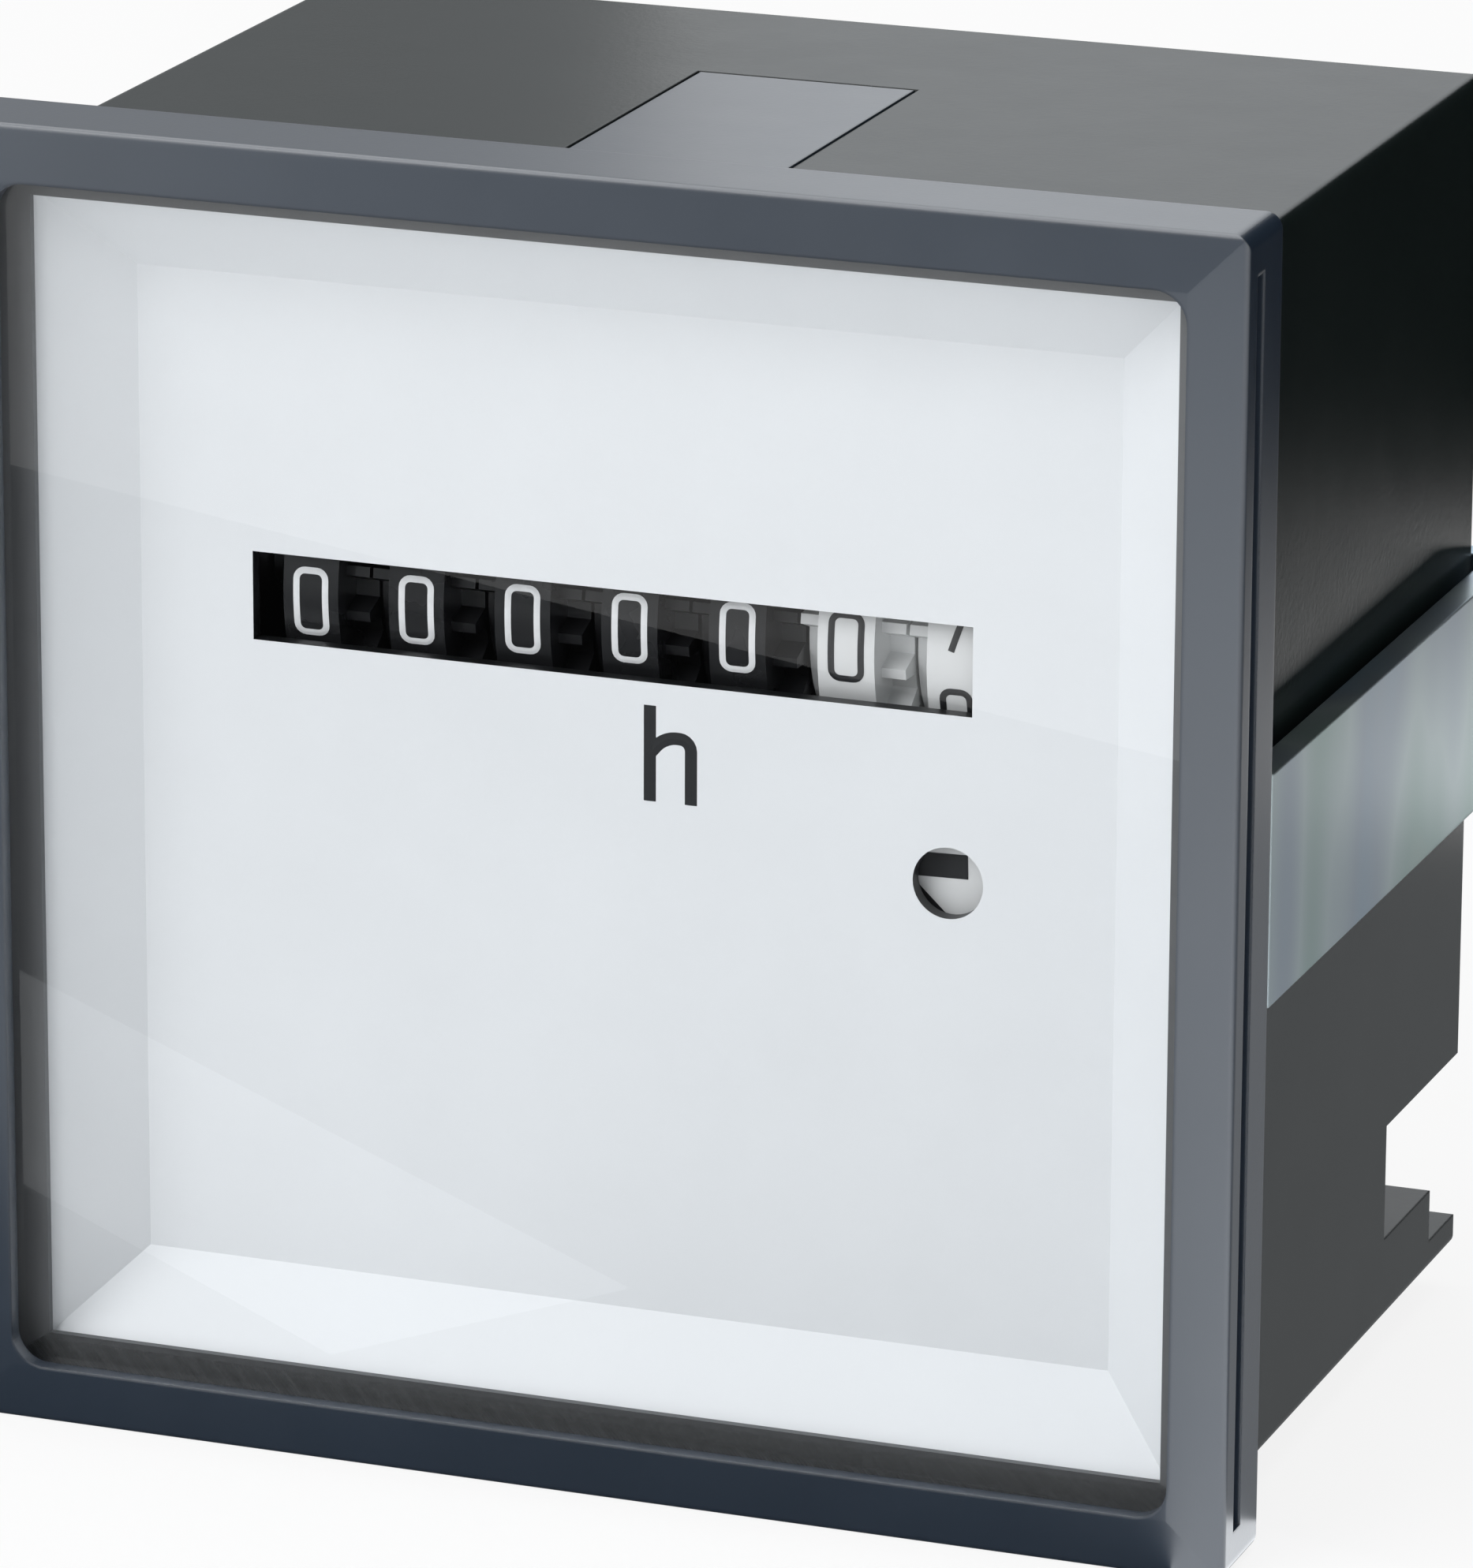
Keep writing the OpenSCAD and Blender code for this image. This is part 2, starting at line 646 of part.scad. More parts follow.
// Arm below the counter that carries the front end of the indicator's arbor
module indicator_arm() {
    low = arbor_2[1] - arm_drop - plate_t;
    left = arbor_2[0] - arm_half_w;
    difference() {
        union() {
            block([left, arm_y, low], [left + 2 * arm_half_w, frame_y + plate_t / 2, low + plate_t]);
            block([left, arm_y, low], [left + 2 * arm_half_w, arm_y + plate_t, arbor_2[1] + arm_rise]);
        }
        rod_y(arbor_2, arm_y - cut, plate_t + 2 * cut, pivot_r + running_gap);
    }
}
module movement_frame() color([0.72, 0.73, 0.74]) {
    notch_half = crown_pinion_r + crown_module + side_gap;
    difference() {
        union() {
            along_y(frame_y, plate_t) plate_outline();
            cheek(left_cheek_x - plate_t);
            cheek(cheek_x);
        }
        along_y(frame_y - cut, plate_t + 2 * cut) plate_holes();
        block(
            [cheek_x - cut, counter_y + hub_r, counter_z - notch_half],
            [cheek_x + plate_t + cut, frame_y, counter_z + notch_half]
        );
    }
    indicator_arm();
}
module rear_plate() color([0.72, 0.73, 0.74]) {
    along_y(rear_plate_y, plate_t) difference() {
        plate_outline();
        plate_holes();
        translate(rotor_at) circle(bush_r + fit_gap);
        translate([rotor_at[0] - exit_w, plate_bottom - cut])
            square([2 * exit_w, notch_top - plate_bottom + cut]);
    }
}
module plate_pillars() color([0.78, 0.66, 0.36]) {
    for (at = screw_places) along_y(train_y, train_space) translate(at) difference() {
        circle(screw_r + pillar_wall);
        circle(screw_r + slip_gap);
    }
}
module movement_screws() color([0.6, 0.62, 0.65]) {
    for (at = screw_places) difference() {
        union() {
            rod_y(at, frame_y - screw_head_h, screw_head_h, screw_head_r);
            rod_y(at, frame_y - screw_head_h / 2, motor_y + screw_in - frame_y + screw_head_h / 2, screw_r);
        }
        translate([at[0], frame_y - screw_head_h, at[1]])
            cube([2 * screw_head_r + cut, 2 * screw_slot, screw_slot], center = true);
    }
}

module register_shaft() color([0.7, 0.71, 0.73]) {
    rod_x([counter_y, counter_z], shaft_from, shaft_len, counter_shaft_r);
}
module pinion_shaft() color([0.7, 0.71, 0.73]) {
    rod_x([counter_y, pinion_shaft_z], shaft_from, shaft_len, pinion_shaft_r);
}
module clip(at, x, r) {
    along_x(x, clip_t) translate(at) difference() {
        circle(r + clip_wall);
        circle(r + fit_gap);
        translate([-cut - r - clip_wall, -r / 2]) square([cut + r + clip_wall, r]);
    }
}
module shaft_clips() color([0.35, 0.36, 0.38]) {
    for (x = [left_cheek_x - plate_t - clip_t, cheek_x + plate_t]) {
        clip([counter_y, counter_z], x, counter_shaft_r);
        clip([counter_y, pinion_shaft_z], x, pinion_shaft_r);
    }
}

// Crown teeth on the last wheel, which the fourth arbor's pinion turns
module crown() {
    base_x = wheel_x(last_wheel) + band_w / 2;
    tip_x = crown_x + addendum * crown_module;
    along_x(base_x - band_w / 2, band_w / 2 + crown_base) translate([counter_y, counter_z]) difference() {
        circle(crown_r + crown_face / 2);
        circle(crown_r - crown_face / 2 - crown_rim);
    }
    for (i = [0 : crown_teeth - 1]) {
        turn = (i + 0.5) * 360 / crown_teeth;
        translate([base_x, counter_y, counter_z]) rotate([turn, 0, 0]) block(
            [0, crown_r - crown_face / 2 + running_gap, -crown_tooth_w / 2],
            [tip_x - base_x, crown_r + crown_face / 2 - running_gap, crown_tooth_w / 2]
        );
    }
}
// Two-tooth driver on the side towards the next higher wheel
module driver(x) {
    along_x(x, side_w) translate([counter_y, counter_z]) {
        circle(ring_r - dedendum * carry_module);
        intersection() {
            polygon(gear_points(ring_teeth, carry_module, ring_turn));
            polygon([[0, 0], 2 * wheel_r * heading(driver_from), 2 * wheel_r * heading(driver_to)]);
        }
    }
}
module number_wheel(i) {
    x = wheel_x(i);
    axle = [counter_y, counter_z];
    hub_from = i == 0 ? left_cheek_x + slip_gap : x - band_w / 2 - side_w;
    hub_to = i == last_wheel ? cheek_x - slip_gap : x + band_w / 2 + side_w;
    difference() {
        union() {
            rod_x(axle, x - band_w / 2, band_w, wheel_r);
            rod_x(axle, hub_from, hub_to - hub_from, hub_r);
            if (i < last_wheel) along_x(x + band_w / 2, side_w) translate(axle)
                polygon(gear_points(ring_teeth, carry_module, ring_turn));
            if (i == last_wheel) crown();
            if (i > 0) driver(x - band_w / 2 - side_w);
        }
        rod_x(axle, hub_from - cut, hub_to - hub_from + 2 * cut, counter_shaft_r + running_gap);
    }
}
module ten_thousands_wheel() color([0.07, 0.07, 0.08]) number_wheel(0);
module thousands_wheel() color([0.07, 0.07, 0.08]) number_wheel(1);
module hundreds_wheel() color([0.07, 0.07, 0.08]) number_wheel(2);
module tens_wheel() color([0.07, 0.07, 0.08]) number_wheel(3);
module units_wheel() color([0.07, 0.07, 0.08]) number_wheel(4);
module tenths_wheel() color([0.93, 0.93, 0.92]) number_wheel(5);
module hundredths_wheel() color([0.93, 0.93, 0.92]) number_wheel(6);

// Carry pinion between wheel i and wheel i + 1, in mesh with the ring of wheel i
module transfer_pinion(i) color([0.86, 0.84, 0.78]) {
    from = wheel_x(i) + band_w / 2 + running_gap;
    to = wheel_x(i + 1) - band_w / 2 - running_gap;
    difference() {
        union() {
            along_x(from, side_w - running_gap) translate([counter_y, pinion_shaft_z])
                polygon(gear_points(pinion_teeth, carry_module, -90));
            rod_x([counter_y, pinion_shaft_z], from, to - from, carry_hub_r);
        }
        rod_x([counter_y, pinion_shaft_z], from - cut, to - from + 2 * cut, pinion_shaft_r + running_gap);
    }
}
module transfer_pinion_1() transfer_pinion(0);
module transfer_pinion_2() transfer_pinion(1);
module transfer_pinion_3() transfer_pinion(2);
module transfer_pinion_4() transfer_pinion(3);
module transfer_pinion_5() transfer_pinion(4);
module transfer_pinion_6() transfer_pinion(5);

// Arbor k with its pivots and, before the last one, the pinion that drives the next wheel
module train_pinion(k) {
    from = level_y(k + 1) - (train_pinion_w - train_wheel_t) / 2;
    along_y(from, train_pinion_w) translate(arbors[k])
        polygon(gear_points(pinion_teeth, train_module, toward_next[k]));
}
module arbor(k, front) {
    rod_y(arbors[k], front, motor_y - running_gap - front, pivot_r);
    rod_y(arbors[k], train_y + running_gap, train_space - 2 * running_gap, arbor_r);
}
module first_arbor() color([0.62, 0.63, 0.65]) {
    arbor(1, frame_y);
    train_pinion(1);
}
module second_arbor() color([0.62, 0.63, 0.65]) {
    arbor(2, indicator_y);
    train_pinion(2);
}
module third_arbor() color([0.62, 0.63, 0.65]) {
    arbor(3, frame_y);
    train_pinion(3);
}
module fourth_arbor() color([0.62, 0.63, 0.65]) {
    mesh_y = counter_y + crown_r;
    half_len = crown_face / 2 + crown_pinion_past;
    arbor(4, mesh_y);
    along_y(mesh_y - half_len, 2 * half_len) translate(arbor_4)
        polygon(gear_points(pinion_teeth, crown_module, 180));
}

// Spoked brass wheel on arbor k, with a gap between two teeth facing the pinion that drives it
module train_wheel(k) color([0.8, 0.67, 0.34]) {
    teeth = train_teeth[k - 1];
    facing = toward_driver[k - 1];
    rim_r = teeth * train_module / 2 - dedendum * train_module - wheel_rim;
    boss_r = arbor_r + boss_wall;
    along_y(level_y(k), train_wheel_t) translate(arbors[k]) difference() {
        polygon(gear_points(teeth, train_module, facing + 180 / teeth));
        difference() {
            circle(rim_r);
            circle(boss_r);
            for (turn = [0, 60, 120]) rotate(turn) square([2 * rim_r + cut, spoke_w], center = true);
        }
        circle(arbor_r + fit_gap);
    }
}
module first_wheel() train_wheel(1);
module second_wheel() train_wheel(2);
module third_wheel() train_wheel(3);
module fourth_wheel() train_wheel(4);
module indicator_disc() color([0.93, 0.93, 0.92]) {
    along_y(indicator_y, indicator_t) translate(arbor_2) difference() {
        circle(indicator_disc_r);
        circle(pivot_r + fit_gap);
    }
}

module rotor_shaft() color([0.7, 0.71, 0.73]) {
    from = level_y(1) - (train_pinion_w - train_wheel_t) / 2;
    rod_y(rotor_at, from, cap_rear_y - from, rotor_shaft_r);
    train_pinion(0);
}
module rotor_hub() color([0.2, 0.35, 0.3]) {
    along_y(rotor_y, rotor_len) translate(rotor_at) difference() {
        circle(rotor_hub_r);
        circle(rotor_shaft_r + fit_gap);
    }
}
module rotor_magnet() color([0.2, 0.2, 0.21]) {
    along_y(rotor_y, rotor_len) translate(rotor_at) difference() {
        circle(rotor_r);
        circle(rotor_hub_r + fit_gap);
    }
}
// Ring of claw poles that starts at the angle first
module claws(from, first) {
    intersection() {
        along_y(from, claw_len) translate(rotor_at) difference() {
            circle(claw_r + claw_t);
            circle(claw_r);
        }
        for (i = [0 : claw_pairs - 1]) translate([rotor_at[0], 0, rotor_at[1]])
            rotate([0, first + i * 360 / claw_pairs, 0])
            block([0, from - cut, -claw_w / 2], [motor_r, from + claw_len + cut, claw_w / 2]);
    }
}
module shell_disc(from) {
    along_y(from, shell_t) translate(rotor_at) difference() {
        circle(motor_r);
        circle(claw_r);
        for (turn = [0, 180]) rotate(turn) translate([rivet_ring_r, 0]) circle(rivet_r + running_gap);
    }
}
module stator_front() color([0.66, 0.67, 0.69]) {
    shell_disc(motor_y);
    claws(motor_y + shell_t, 0);
}
module stator_rear() color([0.66, 0.67, 0.69]) {
    wall_y = motor_y + shell_t;
    shell_disc(motor_rear_y - shell_t);
    claws(motor_rear_y - shell_t - claw_len, 180 / claw_pairs);
    difference() {
        along_y(wall_y, motor_len - 1.5 * shell_t) translate(rotor_at) difference() {
            circle(motor_r);
            circle(motor_r - shell_t);
        }
        translate([rotor_at[0], 0, rotor_at[1]]) block(
            [-exit_w / 2, wall_y - cut, -motor_r - cut],
            [exit_w / 2, motor_rear_y - shell_t - cut, 0]
        );
    }
}
module bobbin() color([0.86, 0.85, 0.8]) {
    along_y(spool_y, spool_len) translate(rotor_at) difference() {
        circle(spool_r + spool_wall);
        circle(spool_r);
    }
    for (from = [spool_y, spool_y + spool_len - spool_wall]) along_y(from, spool_wall) translate(rotor_at)
        difference() {
            circle(spool_out_r);
            circle(spool_r + spool_wall / 2);
        }
    // Lug through the shell's exit, where the leads leave
    translate([rotor_at[0], 0, rotor_at[1]]) block(
        [slip_gap - exit_w / 2, spool_y, -motor_r - exit_drop],
        [exit_w / 2 - slip_gap, spool_y + spool_wall, spool_wall - spool_out_r]
    );
}
module winding() color([0.72, 0.4, 0.22]) {
    along_y(spool_y + spool_wall, spool_len - 2 * spool_wall) translate(rotor_at) difference() {
        circle(spool_out_r - spool_wall);
        circle(spool_r + spool_wall + fit_gap);
    }
}
module motor_cap() color([0.66, 0.67, 0.69]) {
    along_y(motor_rear_y, shell_t) translate(rotor_at) difference() {
        circle(cap_r);
        circle(bush_r + fit_gap);
        for (turn = [0, 180]) rotate(turn) translate([rivet_ring_r, 0]) circle(rivet_r + running_gap);
    }
}
module rotor_bushes() color([0.8, 0.62, 0.3]) {
    for (span = [[rear_plate_y, plate_t], [motor_rear_y, shell_t]])
        along_y(span[0], span[1]) translate(rotor_at) difference() {
            circle(bush_r);
            circle(rotor_shaft_r + running_gap);
        }
}
module motor_rivets() color([0.6, 0.6, 0.62]) {
    for (turn = [0, 180]) {
        at = rotor_at + rivet_ring_r * heading(turn);
        rod_y(at, motor_rear_y - shell_t, 2 * shell_t, rivet_r);
        rod_y(at, cap_rear_y, rivet_head_h, rivet_head_r);
    }
}

// Insulated lead from the coil's lug round the rear plate to the tab's solder lug
module lead(side) color([0.15, 0.2, 0.45]) {
    tab_lug_y = bay_wall_y - shoulder_len - lug_len / 2;
    down_y = bay_wall_y - lead_r - side_gap;
    pass_z = bay_roof + lead_r + side_gap / 2;
    route = [
        [rotor_at[0] + side * lead_exit_x, spool_y + spool_wall / 2, coil_lug_z - lead_r - running_gap],
        [side * 2 * lead_exit_x, down_y, pass_z],
        [side * (tab_x - lug_w), down_y - lead_back, tab_z + lead_rise],
        [side * tab_x, tab_lug_y, tab_z + tab_t / 2 + lead_r + running_gap]
    ];
    for (i = [0 : len(route) - 2]) hull() {
        translate(route[i]) sphere(lead_r, $fn = 10);
        translate(route[i + 1]) sphere(lead_r, $fn = 10);
    }
}
module lead_left() lead(-1);
module lead_right() lead(1);

bezel();
lens();
seal_ring();
dial_tray();
housing();
clamp_bracket();
clamp_screw();
terminal_left();
terminal_right();
movement_frame();
rear_plate();
plate_pillars();
movement_screws();
register_shaft();
pinion_shaft();
shaft_clips();
ten_thousands_wheel();
thousands_wheel();
hundreds_wheel();
tens_wheel();
units_wheel();
tenths_wheel();
hundredths_wheel();
transfer_pinion_1();
transfer_pinion_2();
transfer_pinion_3();
transfer_pinion_4();
transfer_pinion_5();
transfer_pinion_6();
first_arbor();
first_wheel();
second_arbor();
second_wheel();
indicator_disc();
third_arbor();
third_wheel();
fourth_arbor();
fourth_wheel();
rotor_shaft();
rotor_hub();
rotor_magnet();
stator_front();
stator_rear();
bobbin();
winding();
motor_cap();
rotor_bushes();
motor_rivets();
lead_left();
lead_right();
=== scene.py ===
"""Looks of a panel-mounted hour meter: finishes, printed figures, dial print, screw thread and stage."""

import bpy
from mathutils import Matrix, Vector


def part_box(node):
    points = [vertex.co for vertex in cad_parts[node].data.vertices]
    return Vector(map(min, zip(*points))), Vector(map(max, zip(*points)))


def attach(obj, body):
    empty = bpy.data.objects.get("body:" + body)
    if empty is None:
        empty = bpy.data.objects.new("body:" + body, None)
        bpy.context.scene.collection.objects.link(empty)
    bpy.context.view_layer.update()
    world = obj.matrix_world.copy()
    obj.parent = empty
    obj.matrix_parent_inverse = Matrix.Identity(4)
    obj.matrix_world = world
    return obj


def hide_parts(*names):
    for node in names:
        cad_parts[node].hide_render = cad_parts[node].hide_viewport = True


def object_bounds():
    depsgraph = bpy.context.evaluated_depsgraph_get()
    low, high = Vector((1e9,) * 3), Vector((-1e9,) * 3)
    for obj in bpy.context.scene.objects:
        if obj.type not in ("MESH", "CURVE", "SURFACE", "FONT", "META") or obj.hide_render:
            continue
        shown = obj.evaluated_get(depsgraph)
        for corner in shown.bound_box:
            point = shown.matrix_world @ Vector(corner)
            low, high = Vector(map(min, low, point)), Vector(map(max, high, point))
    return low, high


bl_info = {
    "name": "Hour meter looks",
    "version": (1, 0, 0),
    "blender": (4, 5, 0),
    "location": "View3D > Sidebar > Hour meter",
    "description": "Dresses the packed hour meter with finishes, printed figures, a screw thread and a stage",
    "category": "Object",
}

import math

import bmesh
import bpy
from bpy.props import FloatProperty, FloatVectorProperty, IntProperty, PointerProperty
from mathutils import Matrix, Vector

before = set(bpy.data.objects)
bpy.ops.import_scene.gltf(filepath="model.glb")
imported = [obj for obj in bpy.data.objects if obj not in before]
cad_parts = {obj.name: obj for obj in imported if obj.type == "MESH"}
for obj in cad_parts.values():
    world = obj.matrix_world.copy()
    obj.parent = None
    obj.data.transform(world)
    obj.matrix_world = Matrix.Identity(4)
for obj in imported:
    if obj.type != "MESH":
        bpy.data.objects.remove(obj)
CAD_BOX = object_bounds()
MM = 0.001
WELD = 0.001 * MM  # vertices that lie closer are one
EVEN = (1.0, 1.0, 1.0)  # a pattern that isn't stretched
WHITE = (1.0, 1.0, 1.0, 1.0)

BLACK_WHEELS = ("ten_thousands_wheel", "thousands_wheel", "hundreds_wheel", "tens_wheel", "units_wheel")
WHITE_WHEELS = ("tenths_wheel", "hundredths_wheel")

# Each figure is a set of strokes, and each stroke is (closed, corners), with the corners from -1 to 1
# across the figure's width and height.
FIGURES = {
    "0": [(True, [(-1, -1), (1, -1), (1, 1), (-1, 1)])],
    "1": [(False, [(-0.7, 0.55), (0.15, 1), (0.15, -1)])],
    "2": [(False, [(-1, 0.5), (-1, 1), (1, 1), (1, 0.15), (-1, -1), (1, -1)])],
    "3": [(False, [(-1, 1), (1, 1), (-0.1, 0.2), (1, 0.2), (1, -1), (-1, -1), (-1, -0.6)])],
    "4": [(False, [(0.3, 1), (-1, -0.5), (1, -0.5)]), (False, [(0.45, 0.15), (0.45, -1)])],
    "5": [(False, [(0.9, 1), (-0.9, 1), (-0.9, 0.15), (1, 0.15), (1, -1), (-1, -1), (-1, -0.6)])],
    "6": [(False, [(1, 0.6), (1, 1), (-1, 1), (-1, -1), (1, -1), (1, 0.15), (-1, 0.15)])],
    "7": [(False, [(-1, 1), (1, 1), (-0.3, -1)])],
    "8": [
        (True, [(-1, -1), (1, -1), (1, 0.05), (-1, 0.05)]),
        (True, [(-0.9, 0.05), (0.9, 0.05), (0.9, 1), (-0.9, 1)]),
    ],
    "9": [(False, [(-1, -0.6), (-1, -1), (1, -1), (1, 1), (-1, 1), (-1, -0.1), (1, -0.1)])],
}
HOUR_LETTER = [(False, [(-1, -1), (-1, 1)]), (False, [(-1, 0.0), (-0.3, 0.36), (1, 0.36), (1, -1)])]

# Most values of a cloud pattern lie between these two.
CLOUD_LOW = 0.3
CLOUD_HIGH = 0.7

# Tints of zinc's passivation: where each lies in a cloud pattern, and how it shifts red, green and blue.
PASSIVATION = (
    (0.32, (0.86, 0.96, 1.08)),  # blue
    (0.42, (1.00, 0.98, 1.03)),  # lilac
    (0.50, (1.22, 1.20, 1.15)),  # pale
    (0.58, (0.96, 1.04, 0.94)),  # green
    (0.68, (1.12, 1.06, 0.92)),  # straw
)

# Studio cards that only mirrors see: name, place of the middle and size in millimetres, brightness, and turn
# about the upright axis in degrees. Flags darken what a face mirrors, and glows brighten it.
CARD_TONE = (0.94, 0.97, 1.0, 1.0)
CARDS = (
    ("near_flag", (-59, -57, -23.9), (300, 110, 0.1), 0.03, 21.5),
    ("near_glow", (-38.0, -37.7, -23.6), (70, 13, 0.1), 1.1, 35.8),
    ("right_glow", (25, -100, -23.7), (60, 195, 0.1), 1.65, -16.4),
    ("front_flag", (5, -180, 100), (190, 0.1, 200), 0.05, 0.0),
    ("front_glow", (-250, -180, 100), (320, 0.1, 200), 1.4, 0.0),
    ("front_low", (-90, -181, -12), (300, 0.1, 24), 0.16, 0.0),
    ("rear_flag", (-190, 200, 110), (230, 0.1, 270), 0.34, 0.0),
    ("rear_glow", (-32.5, 205, 110), (85, 0.1, 270), 0.8, 0.0),
    ("side_flag", (207, 135, 138), (385, 0.1, 324), 0.0, 0.0),
    ("side_floor", (117, 30.5, -23.8), (190, 109, 0.1), 0.3, 0.0),
    ("side_dark", (152, 110, -23.8), (200, 50, 0.1), 0.0, 0.0),
)


def length(name, description, default):
    """A size that a user would change, in metres."""
    return FloatProperty(name=name, description=description, default=default, unit="LENGTH", precision=5)


def colour(name, description, default):
    """A colour that a user would change, in linear light."""
    return FloatVectorProperty(
        name=name, description=description, default=default, size=3, min=0.0, max=1.0, subtype="COLOR"
    )


def angle(name, description, degrees):
    """An angle that a user would change, given in degrees and kept in radians."""
    return FloatProperty(
        name=name, description=description, default=math.radians(degrees), subtype="ANGLE", precision=4
    )


def amount(name, description, default, unit="NONE"):
    """A number that a user would change, plain or with a unit."""
    return FloatProperty(name=name, description=description, default=default, unit=unit)


class CounterSettings(bpy.types.PropertyGroup):
    """Figures on the number wheels"""

    figure_h: length("Figure height", "Height of a figure's centre line", 2.3 * MM)
    figure_w: length("Figure width", "Width of a figure's centre line", 1.1 * MM)
    stroke_w: length("Stroke width", "Width of a figure's stroke", 0.24 * MM)
    corner_r: length("Corner radius", "Rounding of a figure's corners", 0.32 * MM)
    ink_t: length("Ink thickness", "How far the print stands out", 0.012 * MM)
    last_reading: amount("Last reading", "Where the last wheel stands between two figures", 7.42)
    play: amount("Play", "How far the first wheel hangs below its figure, in figures", 0.07)
    white_ink: colour("White ink", "Figures on the black wheels", (0.80, 0.81, 0.82))
    black_ink: colour("Black ink", "Figures on the white wheels", (0.015, 0.016, 0.018))


class DialSettings(bpy.types.PropertyGroup):
    """Print on the dial and on the running indicator"""

    letter_h: length("Letter height", "Height of the hour letter's centre line", 3.5 * MM)
    letter_w: length("Letter width", "Width of the hour letter's centre line", 1.54 * MM)
    letter_stroke: length("Letter stroke", "Width of the hour letter's stroke", 0.46 * MM)
    letter_x: length("Letter place", "Middle of the hour letter, to the right of the middle", 1.84 * MM)
    letter_drop: length("Letter drop", "Middle of the hour letter below the counter's shaft", 4.2 * MM)
    letter_r: length("Letter rounding", "Rounding of the hour letter's arch", 0.42 * MM)
    bars: IntProperty(name="Bars", description="Dark bars on the indicator disc", default=8, min=3)
    bar_w: length("Bar width", "Width of one dark bar", 0.88 * MM)
    bar_in: length("Bar start", "Radius at which the bars start", 0.9 * MM)
    bar_out: length("Bar end", "Radius at which the bars end", 3.2 * MM)
    first_bar: angle("First bar", "Angle of the first bar's middle", 1.5)
    ink: colour("Ink", "Colour of the print", (0.013, 0.014, 0.016))


class FinishSettings(bpy.types.PropertyGroup):
    """Colours of the finishes"""

    frame_grey: colour("Front frame", "Satin slate plastic", (0.016, 0.029, 0.050))
    housing_black: colour("Housing", "Fine-grained dark plastic", (0.0100, 0.0150, 0.0145))
    # Dark colour of the dial behind its face, which shows on the cut edges of its holes: painted shade in the
    # holes.
    dial_edge_shade: colour("Dial edge shade", "Painted shade on the dial's cut edges", (0.012, 0.013, 0.014))
    # The seal ring's mid-grey stands in for the shaded inner wall of the bezel's opening: painted shade.
    seal_shade_grey: colour("Seal", "Soft grey rubber", (0.130, 0.135, 0.140))
    dial_white: colour("Dial", "Smooth white plastic", (0.83, 0.85, 0.87))
    zinc: colour("Zinc", "Bright zinc plate", (0.62, 0.73, 0.78))
    steel: colour("Steel", "Ground steel", (0.52, 0.53, 0.55))
    brass: colour("Brass", "Turned brass", (0.70, 0.50, 0.19))
    tin: colour("Tin", "Tin-plated tabs", (0.66, 0.64, 0.58))
    copper: colour("Copper", "Enamelled winding wire", (0.52, 0.20, 0.07))
    wheel_black: colour("Black wheels", "Number wheels of the whole hours", (0.014, 0.0145, 0.016))
    wheel_white: colour("White wheels", "Number wheels of the parts of an hour", (0.78, 0.79, 0.79))
    acetal: colour("Natural plastic", "Carry pinions and coil former", (0.72, 0.69, 0.60))
    ferrite: colour("Ferrite", "Rotor magnet", (0.025, 0.025, 0.027))
    hub_green: colour("Hub", "Rotor hub", (0.03, 0.12, 0.09))
    lead_blue: colour("Leads", "Insulation of the coil's leads", (0.02, 0.04, 0.20))


class ScrewSettings(bpy.types.PropertyGroup):
    """Thread and head of the clamp screw"""

    pitch: length("Pitch", "Travel of the strap for one turn", 0.7 * MM)
    thread_r: length("Thread radius", "Radius over the thread's crests", 2.0 * MM)
    root_r: length("Root radius", "Radius at the thread's roots", 1.6 * MM)
    tip_r: length("Tip radius", "Radius of the plain tip", 1.5 * MM)
    tip_len: length("Tip length", "Length of the plain tip", 0.8 * MM)
    head_h: length("Head height", "Height of the head", 2.4 * MM)
    slot_w: length("Slot width", "Width of the slot in the head", 1.0 * MM)
    slot_depth: length("Slot depth", "Depth of the slot in the head", 1.2 * MM)
    edge: length("Edge", "Chamfer of the tip and the head", 0.25 * MM)


class StageSettings(bpy.types.PropertyGroup):
    """Camera and light"""

    azimuth: angle("Azimuth", "Camera's angle to the right of the front", 20.49)
    elevation: angle("Elevation", "Camera's angle above the horizon", 16.87)
    roll: angle("Roll", "Camera's turn about its line of sight", 0.24)
    distance: length("Distance", "Camera's distance from the point it looks at", 342.6 * MM)
    target_x: length("Target X", "Point that the camera looks at", 4.50 * MM)
    target_z: length("Target Z", "Point that the camera looks at", 1.81 * MM)
    lens_mm: amount("Lens", "Focal length for a 36 mm wide image", 240.14, unit="CAMERA")
    ambient: amount("Ambient", "Light from all around", 0.37)
    key: amount("Key light", "Power of the large lamp in front", 2.2, unit="POWER")
    top: amount("Top light", "Power of the large lamp above", 1.2, unit="POWER")


class HourMeterSettings(bpy.types.PropertyGroup):
    """All settings of the hour meter"""

    counter: PointerProperty(type=CounterSettings)
    dial: PointerProperty(type=DialSettings)
    finish: PointerProperty(type=FinishSettings)
    screw: PointerProperty(type=ScrewSettings)
    stage: PointerProperty(type=StageSettings)


def add(tree, kind, **values):
    """Adds a node and sets its input sockets."""
    node = tree.nodes.new(kind)
    for socket, value in values.items():
        node.inputs[socket].default_value = value
    return node


def add_math(tree, operation, first):
    """Adds a math node on a socket, with its second input still free."""
    node = add(tree, "ShaderNodeMath")
    node.operation = operation
    tree.links.new(first, node.inputs[0])
    return node


def blend(tree, factor, first, second):
    """Mixes two shaders by a factor, from the first to the second."""
    mix = add(tree, "ShaderNodeMixShader")
    tree.links.new(factor, mix.inputs["Fac"])
    tree.links.new(first, mix.inputs[1])
    tree.links.new(second, mix.inputs[2])
    return mix.outputs["Shader"]


def show(tree, shader, output="Material Output"):
    """Makes a shader the one that is seen."""
    tree.links.new(shader, tree.nodes[output].inputs["Surface"])


